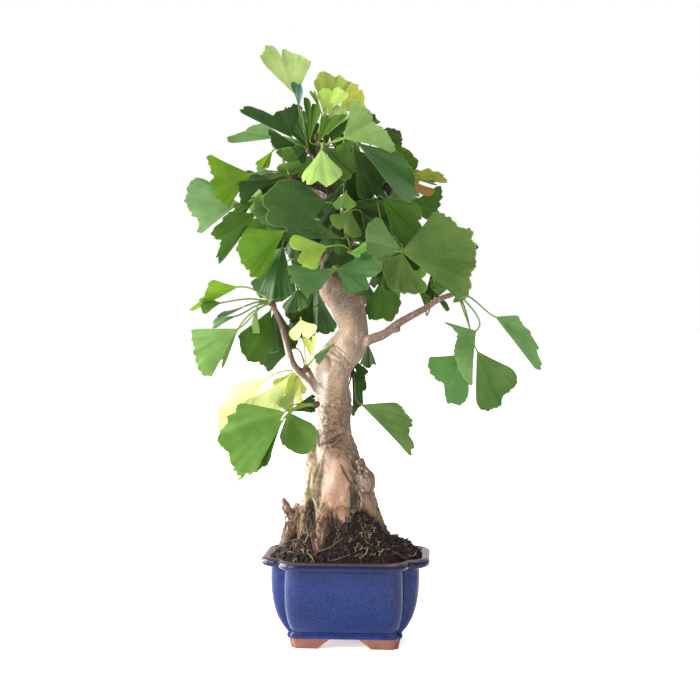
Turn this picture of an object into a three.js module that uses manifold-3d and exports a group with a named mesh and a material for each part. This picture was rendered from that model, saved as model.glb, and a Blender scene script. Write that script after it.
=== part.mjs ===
// Ginkgo bonsai in a lobed, glazed stoneware pot. Millimetres, +Z up.
// The origin is the middle of the object's footprint, on the surface that the pot stands on.
import * as THREE from "three";
import { mergeVertices } from "three/addons/utils/BufferGeometryUtils.js";
import Module from "manifold-3d";

const wasm = await Module();
wasm.setup();

// ---- Driving dimensions ----

const GAP = 0.3; // clearance between two pieces that touch

// The pot: a rectangle with a rounded lobe on each of its four sides.
const RIM_HALF_WIDTH = 84;
const RIM_HALF_DEPTH = 69;
const RIM_TOP = 90;
const RIM_ROLL = 9; // height of the rolled rim
const RIM_OVERHANG = 10; // how far the roll stands proud of the wall
const WALL = 7;
const FOOT_HEIGHT = 10;
const FLOOR_TOP = 17.5;
const FOOT_INSET = 12; // how far the ring of feet reaches in from the outline
const FOOT_HALF_WIDTH = 53; // of the ring of feet, at the bottom
const FRONT_ARCH = { topHalf: 15, bottomHalf: 26 };
const SIDE_ARCH = { topHalf: 11, bottomHalf: 20 };
const DRAIN_RADIUS = 8;
const DRAIN_SPACING = 62;
const SCREEN_SIZE = 26; // between the middles of its outer bars
const BAR_WIDTH = 2;
const SCREEN_THICKNESS = 1.2;

// The tree stands in the pot with its best side turned by this angle.
const TREE_TURN = THREE.MathUtils.degToRad(4);

// Places on the tree are read off a front elevation, drawn from this far away and this high up.
const EYE_DISTANCE = 1500;
const EYE_HEIGHT = 361;
const EYE_X = 3;

// The leaves.
const BLADE_THICKNESS = 0.8;
const BLADE_SEGMENTS = 8; // of a blade longer than SMALL_BLADE
const SMALL_BLADE = 50;
const SMALL_SEGMENTS = 6;
const CUP = 0.09; // depth of a blade's hollow, as a share of its length
const RIPPLE = 0.03; // height of the waves in a blade
const MARGIN_WAVE = 0.02; // how far the margin goes in and out
const NOTCH_WIDTH = 0.09; // half-width of the notch, as a share of the blade's spread
const SWING = 0.5; // how far the ends of a margin stand forward or back, as a share of the blade's length
const SWING_STEP = 2.4; // radians from one leaf to the next
const SWING_LAG = 2; // radians from one end of a margin to the other
const STALK_RADIUS = 0.9;
const STALK_STEP = 44; // length of one segment of a stalk
const STALK_ARCH = 0.35; // how steeply a stalk leaves its spur
const SPUR_RADIUS = 4.2;

const COLOURS = {
  glaze: 0x2a3f93,
  screen: 0x23262a,
  soil: 0x2b1f1a,
  bark: 0xa9927b,
  green: 0x4f8a35,
  deepGreen: 0x2f6330,
  brightGreen: 0x79ad3e,
  youngYellow: 0xc6d65a,
  amber: 0xd09a35,
  paleYellow: 0xdfdc8c,
};

// ---- Solids ----

// A point of the front elevation, y mm behind the trunk's axis, as a point of the model.
function place([x, z, y]) {
  const scale = (EYE_DISTANCE + y) / EYE_DISTANCE;
  return new THREE.Vector3(
    EYE_X + (x - EYE_X) * scale,
    y,
    EYE_HEIGHT + (z - EYE_HEIGHT) * scale,
  ).applyAxisAngle(new THREE.Vector3(0, 0, 1), TREE_TURN);
}

// The closed solid of a mesh given as points and triangles of point numbers.
function solidOf(points, faces) {
  const geometry = new THREE.BufferGeometry().setFromPoints(points);
  geometry.setIndex(faces);
  return solidOfGeometry(geometry);
}

function solidOfGeometry(geometry) {
  geometry.deleteAttribute("normal");
  geometry.deleteAttribute("uv");
  const merged = mergeVertices(geometry, 1e-3);
  const mesh = new wasm.Mesh({
    numProp: 3,
    vertProperties: new Float32Array(merged.attributes.position.array),
    triVerts: new Uint32Array(merged.index.array),
  });
  return new wasm.Manifold(mesh);
}

// Rings of the same number of points, seen anticlockwise from the end pole, closed with a pole at each end.
function loft(rings, startPole, endPole) {
  const count = rings[0].length;
  const points = [startPole, ...rings.flat(), endPole];
  const at = (ring, i) => 1 + ring * count + (i % count);
  const faces = [];
  for (let i = 0; i < count; i++) {
    faces.push(0, at(0, i + 1), at(0, i));
    faces.push(points.length - 1, at(rings.length - 1, i), at(rings.length - 1, i + 1));
    for (let ring = 0; ring < rings.length - 1; ring++) {
      faces.push(at(ring, i), at(ring, i + 1), at(ring + 1, i + 1));
      faces.push(at(ring, i), at(ring + 1, i + 1), at(ring + 1, i));
    }
  }
  return solidOf(points, faces);
}

function unite(solids) {
  return wasm.Manifold.union(solids);
}

// The largest of a solid's bodies: what is left over from a cut is dropped.
function mainBody(solid) {
  const bodies = solid.decompose();
  return bodies.reduce((best, body) => (body.volume() > best.volume() ? body : best));
}

function meshOf(name, solid, colour, roughness) {
  const { vertProperties, triVerts, numProp, numVert } = solid.getMesh();
  const position = new Float32Array(numVert * 3);
  for (let i = 0; i < numVert; i++) {
    position.set(vertProperties.subarray(i * numProp, i * numProp + 3), i * 3);
  }
  const geometry = new THREE.BufferGeometry();
  geometry.setAttribute("position", new THREE.BufferAttribute(position, 3));
  geometry.setIndex(new THREE.BufferAttribute(new Uint32Array(triVerts), 1));
  const material = new THREE.MeshStandardMaterial({ color: colour, roughness, metalness: 0 });
  const mesh = new THREE.Mesh(geometry, material);
  mesh.name = name;
  return mesh;
}

function box(width, depth, height, x, y, z) {
  return solidOfGeometry(new THREE.BoxGeometry(width, depth, height).translate(x, y, z));
}

// ---- The pot ----

// Half-width, height and lobe of the outline up the outside of the pot, from the feet to the roll.
// The lobe is how far the middle of each side stands out past the corner notch.
const WALL_PROFILE = [
  { z: 10, halfWidth: 55.4, lobe: 3 },
  { z: 14, halfWidth: 57.4, lobe: 3.6 },
  { z: 15.5, halfWidth: 56.6, lobe: 4 },
  { z: 18, halfWidth: 58.8, lobe: 6.5 },
  { z: 32, halfWidth: 67.4, lobe: 10.5 },
  { z: 54, halfWidth: 73, lobe: 14 },
  { z: RIM_TOP - RIM_ROLL, halfWidth: RIM_HALF_WIDTH - RIM_OVERHANG, lobe: 15.5 },
];
// The rolled rim, as distances in from its widest line and up from the top of the wall.
const LIP_PROFILE = [
  { inset: 0.8, rise: 1, lobe: 19.7 },
  { inset: 0, rise: 4.8, lobe: 19.7 },
  { inset: 2, rise: 8.4, lobe: 19.7 },
  { inset: 5, rise: RIM_ROLL, lobe: 18.6 },
  { inset: 9, rise: 8.2, lobe: 16.5 },
  { inset: RIM_OVERHANG + 4.5, rise: 4, lobe: 13.5 },
];
const DEPTH_LOSS = RIM_HALF_WIDTH - RIM_HALF_DEPTH; // from half the width to half the depth, at any height
const FRONT_LOBE = 1.19; // the front and back lobes stand out this much further than those of the sides
const LOBE_ARC = 0.9; // radius of a lobe's corners, as a share of how far it stands out
const ARC_SEGMENTS = 3;

// The outline at one height: two rounded rectangles across each other, with a notch at each corner.
function potOutline(halfWidth, lobe, z) {
  const halfDepth = halfWidth - DEPTH_LOSS;
  const innerWidth = halfWidth - lobe;
  const innerDepth = halfDepth - lobe * FRONT_LOBE;
  const sideRadius = lobe * LOBE_ARC;
  const frontRadius = sideRadius * FRONT_LOBE;
  const quarter = [];
  const arc = (cx, cy, radius, from) => {
    for (let i = 0; i <= ARC_SEGMENTS; i++) {
      const angle = from + ((Math.PI / 2) * i) / ARC_SEGMENTS;
      quarter.push([cx + radius * Math.cos(angle), cy + radius * Math.sin(angle)]);
    }
  };
  quarter.push([halfWidth, 0]);
  arc(halfWidth - sideRadius, innerDepth - sideRadius, sideRadius, 0);
  quarter.push([innerWidth, innerDepth]);
  arc(innerWidth - frontRadius, halfDepth - frontRadius, frontRadius, 0);
  const outline = [
    ...quarter,
    ...[...quarter.slice(1)].reverse().map(([x, y]) => [-x, y]),
    ...quarter.map(([x, y]) => [-x, -y]),
    ...[...quarter.slice(1)].reverse().map(([x, y]) => [x, -y]),
  ];
  return outline.map(([x, y]) => new THREE.Vector3(x, y, z));
}

const INNER_LOBE = 0.9; // the hollow's lobes are this share of the outside's
const HOLLOW_LEVELS = [FLOOR_TOP, 32, RIM_TOP - RIM_ROLL];

// Width of the hollow inside the pot at a height.
function hollowAt(z) {
  const above = WALL_PROFILE.findIndex((row) => row.z >= z);
  const [low, high] = [WALL_PROFILE[above - 1], WALL_PROFILE[above]];
  const share = (z - low.z) / (high.z - low.z);
  return {
    halfWidth: THREE.MathUtils.lerp(low.halfWidth, high.halfWidth, share) - WALL,
    lobe: THREE.MathUtils.lerp(low.lobe, high.lobe, share) * INNER_LOBE,
  };
}

// A ring under the pot, opened on all four sides so that a foot is left at each corner.
function feet() {
  const tier = (inset, bottom, top) => {
    const rings = [
      potOutline(FOOT_HALF_WIDTH - inset, WALL_PROFILE[0].lobe, bottom),
      potOutline(WALL_PROFILE[0].halfWidth - inset, WALL_PROFILE[0].lobe, top),
    ];
    return loft(rings, new THREE.Vector3(0, 0, bottom), new THREE.Vector3(0, 0, top));
  };
  return tier(0, 0, FOOT_HEIGHT + 1)
    .subtract(tier(FOOT_INSET, -1, FOOT_HEIGHT + 2))
    .subtract(arch(2 * RIM_HALF_DEPTH, FRONT_ARCH, 0))
    .subtract(arch(2 * RIM_HALF_WIDTH, SIDE_ARCH, Math.PI / 2));
}

// The opening between two feet: narrow at the top and wide at the bottom, right through the pot.
function arch(length, { topHalf, bottomHalf }, turn) {
  const shape = new THREE.Shape([
    new THREE.Vector2(-bottomHalf, -1),
    new THREE.Vector2(bottomHalf, -1),
    new THREE.Vector2(topHalf, FOOT_HEIGHT),
    new THREE.Vector2(-topHalf, FOOT_HEIGHT),
  ]);
  const prism = new THREE.ExtrudeGeometry(shape, { depth: length, bevelEnabled: false });
  prism.rotateX(Math.PI / 2).translate(0, length / 2, 0).rotateZ(turn);
  return solidOfGeometry(prism);
}

function drainHole(side) {
  const hole = new THREE.CylinderGeometry(DRAIN_RADIUS, DRAIN_RADIUS, 3 * FLOOR_TOP, 16);
  return solidOfGeometry(hole.rotateX(Math.PI / 2).translate((side * DRAIN_SPACING) / 2, 0, 0));
}

function potSolid() {
  const rings = WALL_PROFILE.map(({ halfWidth, lobe, z }) => potOutline(halfWidth, lobe, z));
  const wallTop = WALL_PROFILE[WALL_PROFILE.length - 1];
  for (const { inset, rise, lobe } of LIP_PROFILE) {
    rings.push(potOutline(RIM_HALF_WIDTH - inset, lobe, wallTop.z + rise));
  }
  for (const z of [...HOLLOW_LEVELS].reverse()) {
    const { halfWidth, lobe } = hollowAt(z);
    rings.push(potOutline(halfWidth, lobe, z));
  }
  const under = new THREE.Vector3(0, 0, FOOT_HEIGHT);
  const floor = new THREE.Vector3(0, 0, FLOOR_TOP);
  return loft(rings, under, floor)
    .add(feet())
    .subtract(drainHole(-1))
    .subtract(drainHole(1));
}

// A square of plastic netting that keeps the soil off a drain hole.
function screenSolid(side) {
  const bars = [];
  const pitch = SCREEN_SIZE / 2;
  const x = (side * DRAIN_SPACING) / 2;
  const z = FLOOR_TOP + GAP + SCREEN_THICKNESS / 2;
  for (let i = -1; i <= 1; i++) {
    bars.push(box(BAR_WIDTH, SCREEN_SIZE + BAR_WIDTH, SCREEN_THICKNESS, x + i * pitch, 0, z));
    bars.push(box(SCREEN_SIZE + BAR_WIDTH, BAR_WIDTH, SCREEN_THICKNESS, x, i * pitch, z));
  }
  return unite(bars);
}

// ---- The wood ----

// Every limb is a row of [x, z, y, radius] on the front elevation, from its root to its tip.
const LIMBS = {
  trunk: [
    [-11, 49, 4, 30],
    [-12, 97, 2, 38],
    [-13, 122, 0, 37],
    [-11, 142, 0, 34],
    [-11, 162, 0, 30.5],
    [-13, 182, 0, 27],
    [-15, 202, 0, 20.5],
    [-14.5, 222, 0, 17.5],
    [-13.5, 242, 0, 16.5],
    [-14.5, 262, 0, 17],
    [-12, 280, -1, 19],
    [1, 296, -2, 17.5],
    [7.5, 312, -2, 15],
    [3, 327, -1, 15.8],
    [-4, 342, 0, 16.2],
    [-15, 355, 1, 13.5],
    [-18, 371, 2, 9],
    [-13, 393, 3, 7],
    [-10, 411, 4, 6.2],
    [-15, 441, 3, 5.4],
    [-22, 469, 1, 4.6],
    [-27, 489, -4, 3.6],
  ],
  rightRoot: [
    [3, 179, -8, 14],
    [14, 151, -10, 12],
    [26, 125, -12, 9.5],
    [37, 102, -14, 7],
    [45, 78, -16, 4],
  ],
  frontRoot: [
    [-9, 197, -6, 13],
    [-9, 171, -14, 17],
    [-9, 145, -20, 17.5],
    [-8, 130, -18, 13],
    [-6, 112, -12, 10],
  ],
  leftMass: [
    [-35, 201, -4, 6],
    [-33, 179, -10, 10],
    [-33, 151, -14, 13],
    [-37, 125, -18, 11],
    [-43, 97, -22, 7],
  ],
  leftRoot: [
    [-31, 141, -6, 10],
    [-44, 132, -12, 9.5],
    [-54, 117, -14, 7.5],
    [-61, 102, -16, 6],
    [-63, 78, -18, 4],
  ],
  kneeLeft: [[-20, 128, -24, 8], [-26, 108, -36, 8], [-30, 88, -42, 5]],
  kneeRight: [[-3, 132, -24, 8], [-3, 116, -33, 7], [-2, 98, -38, 4]],
  backRootLeft: [[-23, 151, 16, 16], [-33, 119, 30, 11], [-41, 86, 37, 6]],
  backRootRight: [[-1, 151, 18, 16], [12, 117, 31, 11], [19, 84, 38, 6]],
  burl: [[5, 171, -12, 8], [18, 165, -20, 9], [20, 152, -19, 6.5]],
  burlStub: [[13, 159, -20, 5], [17, 158, -30, 4.4]],
  rootStub: [[-57, 125, -18, 4], [-60, 135, -21, 3], [-64, 144, -23, 2.6]],
  shoulder: [[-15, 273, -6, 9], [-25, 281, -12, 9.5], [-31, 289, -12, 5.5]],
  knob: [[1, 342, 0, 9], [14, 342, -3, 5.5], [18, 342.5, -4, 4]],
  leftBranch: [
    [-19, 251, -8, 6.5],
    [-29, 254, -14, 5.4],
    [-41, 266, -18, 4.4],
    [-53, 277, -22, 3.8],
    [-62, 306, -26, 3.1],
    [-68, 324, -28, 2.8],
    [-74, 337, -29, 2.6],
  ],
  leftSpurTwig: [[-32, 257, -15, 3.4], [-39, 274, -24, 2.6]],
  rightBranch: [
    [9, 297, -6, 6.5],
    [22, 303, -10, 5.2],
    [37, 308.5, -14, 4.6],
    [52, 320, -18, 3.9],
    [77, 334, -23, 3.2],
    [93, 344, -26, 2.8],
    [107, 349, -29, 2.6],
  ],
  rightStub: [[43, 312, -16, 3.4], [53, 313.5, -20, 2.2]],
  apexTwig: [[-25, 479, -2, 3.6], [-36, 489, -5, 2.6]],
  topTwig: [[-26, 485, -4, 3.4], [-23, 492, -17, 2.6]],
  crestTwig: [[-26, 485, -3, 3.4], [-29, 503, -12, 2.6]],
  upperLeftTwig: [[-17, 451, 2, 4], [-39, 459, -12, 3], [-54, 464, -20, 2.4]],
  farLeftTwig: [[-15, 437, 3, 4], [-41, 443, -4, 3], [-59, 446, -9, 2.4]],
  midLeftTwig: [[-11, 399, 3, 4], [-35, 403, -8, 3], [-52, 406, -16, 2.4]],
  heartTwig: [[-11, 415, 3, 4.4], [-7, 423, -14, 3.4], [-4, 427, -27, 2.6]],
  centreTwig: [[-12, 397, 2, 4.4], [-3, 395, -18, 3.4], [4, 392, -31, 2.6]],
  lowCentreTwig: [[-16, 375, 0, 4.4], [-12, 375, -16, 3.4], [-9.5, 374, -27, 2.6]],
  upperRightTwig: [[-20, 461, 1, 4], [-1, 475, -8, 3], [13, 481, -16, 2.4]],
  shoulderTwig: [[-14, 435, 3, 4], [15, 447, -4, 3], [43, 455, -11, 2.4]],
  autumnTwig: [[20, 448, -5, 3], [38, 462, -15, 2.8], [50, 463, -20, 2.4]],
  midRightTwig: [[-12, 391, 3, 4.4], [13, 395, -14, 3.2], [36, 398, -31, 2.6]],
  rightBackTwig: [[-11, 405, 5, 4.4], [33, 403, 12, 3.6], [73, 393, 14, 3], [100, 381, 11, 2.4]],
  backTopTwig: [[-26, 483, -2, 3.4], [-21, 491, 20, 2.4]],
  backLeftTwig: [[-16, 443, 3, 4], [-33, 449, 20, 3], [-46, 451, 30, 2.4]],
  backRightTwig: [[-16, 447, 3, 4], [1, 453, 22, 3], [19, 457, 31, 2.4]],
  backMiddleTwig: [[-11, 405, 5, 4.4], [-11, 409, 24, 3.2], [-10, 411, 35, 2.4]],
  backLowLeftTwig: [[-17, 379, 3, 4.4], [-35, 383, 18, 3], [-46, 384, 28, 2.4]],
  backLowRightTwig: [[-16, 373, 3, 4.4], [7, 379, 18, 3.2], [26, 382, 30, 2.4]],
  underTwig: [[-13, 376, 3, 4.4], [-2, 374, 8, 3.2], [5, 372.5, 11, 2.4]],
  hollowTwig: [[-17, 374, 3, 4.4], [-22, 370, 9, 3.2]],
  behindTwig: [[-11, 267, 10, 5], [3, 269, 17, 3.4]],
};
const TRUNK_SIDES = 12;
const ROOT_SIDES = 7;
const TWIG_SIDES = 4;
const TWIG_STEP = 40;
const STEP = 25; // length of one segment of a limb

// Ridges and swellings of old wood: how much larger a limb is at an angle and a distance along it.
function swelling(angle, distance, radius) {
  const strength = Math.min(0.07, radius / 300);
  return 1 + strength * (Math.sin(3 * angle + distance / 17) + 0.6 * Math.sin(5 * angle - distance / 9));
}

// A tapered limb along a smooth curve through its rows, with rounded ends.
function limb(rows, sides, extra) {
  const curve = new THREE.CatmullRomCurve3(rows.map(place), false, "centripetal");
  const length = curve.getLength();
  const steps = Math.max(2, Math.round(length / (sides === TWIG_SIDES ? TWIG_STEP : STEP)));
  const frames = curve.computeFrenetFrames(steps, false);
  const rings = [];
  for (let step = 0; step <= steps; step++) {
    const share = step / steps;
    const centre = curve.getPointAt(share);
    const radius = radiusAt(curve, rows, share);
    const ring = [];
    for (let i = 0; i < sides; i++) {
      const angle = (2 * Math.PI * i) / sides;
      const reach = radius * swelling(angle, share * length, radius) + extra;
      ring.push(
        centre
          .clone()
          .addScaledVector(frames.normals[step], reach * Math.cos(angle))
          .addScaledVector(frames.binormals[step], reach * Math.sin(angle)),
      );
    }
    rings.push(ring);
  }
  const cap = (share, way) => {
    const bulge = 0.5 * radiusAt(curve, rows, share) + extra;
    return curve.getPointAt(share).addScaledVector(frames.tangents[share * steps], way * bulge);
  };
  return loft(rings, cap(0, -1), cap(1, 1));
}

function radiusAt(curve, rows, share) {
  const along = curve.getUtoTmapping(share) * (rows.length - 1);
  const index = Math.min(Math.floor(along), rows.length - 2);
  return THREE.MathUtils.lerp(rows[index][3], rows[index + 1][3], along - index);
}

// All the wood in one piece, with every surface moved out by extra.
function woodSolid(extra) {
  const limbs = Object.entries(LIMBS).map(([name, rows]) => {
    const thickest = Math.max(...rows.map((row) => row[3]));
    const sides = name === "trunk" ? TRUNK_SIDES : thickest > 7 ? ROOT_SIDES : TWIG_SIDES;
    return limb(rows, sides, extra);
  });
  return unite(limbs);
}

// ---- The soil ----

const SOIL_EDGE = RIM_TOP - RIM_ROLL + 2;
const SOIL_INSET = 2.7; // the soil has shrunk this far from the wall
const MOUND_HEIGHT = 32; // from the edge of the soil up to the trunk, were it not levelled off
const MOUND_LEVEL = 0.85 * MOUND_HEIGHT;
// Heaps on the mound, mostly against the roots, each on its middle.
const HEAPS = [
  { x: 10, y: -31, reach: 14, height: 23 },
  { x: 27, y: -23, reach: 15, height: 17 },
  { x: 52, y: -8, reach: 14, height: 3 },
  { x: -3, y: -40, reach: 12, height: 13 },
  { x: -19, y: -46, reach: 11, height: 5 },
  { x: -34, y: -38, reach: 13, height: 5 },
  { x: -54, y: -14, reach: 17, height: 6 },
  { x: -44, y: 8, reach: 16, height: 6 },
  { x: 10, y: 26, reach: 20, height: 2 },
];
const MOUND_SHARES = [0.93, 0.8, 0.63, 0.42];

// Height of the mound at a point, where share is 1 at the rim and 0 in the middle.
function soilHeight(x, y, share) {
  const rise = MOUND_HEIGHT * (1 - share) ** 0.65;
  const fade = Math.min(1, (1 - share) / 0.2);
  const heaped = HEAPS.reduce((sum, heap) => {
    const distance = Math.hypot(x - heap.x, y - heap.y) / heap.reach;
    return sum + heap.height * Math.exp(-(distance ** 2));
  }, 0);
  const clods = 1.6 * Math.sin(x / 5.3 + 1) * Math.sin(y / 4.7) + 1.1 * Math.sin(x / 2.9 - y / 3.7);
  return SOIL_EDGE + Math.min(rise, MOUND_LEVEL) + heaped * fade + clods;
}

function soilSolid() {
  const rings = HOLLOW_LEVELS.map((z) => {
    const { halfWidth, lobe } = hollowAt(z);
    return potOutline(halfWidth - SOIL_INSET, lobe, Math.max(z, FLOOR_TOP + GAP));
  });
  rings[rings.length - 1].forEach((point) => point.setZ(SOIL_EDGE));
  const edge = rings[rings.length - 1];
  for (const share of MOUND_SHARES) {
    rings.push(edge.map((point) => {
      const [x, y] = [share * point.x, share * point.y];
      return new THREE.Vector3(x, y, soilHeight(x, y, share));
    }));
  }
  const bottom = new THREE.Vector3(0, 0, FLOOR_TOP + GAP);
  const top = new THREE.Vector3(0, 0, SOIL_EDGE + MOUND_LEVEL);
  const recess = SCREEN_SIZE + BAR_WIDTH + 1;
  const seat = (side) =>
    box(recess, recess, 2 * (SCREEN_THICKNESS + GAP), (side * DRAIN_SPACING) / 2, 0, FLOOR_TOP + GAP);
  const filled = loft(rings, bottom, top).subtract(seat(-1)).subtract(seat(1));
  return mainBody(filled.subtract(woodSolid(GAP)));
}

// ---- The leaves ----

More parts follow.
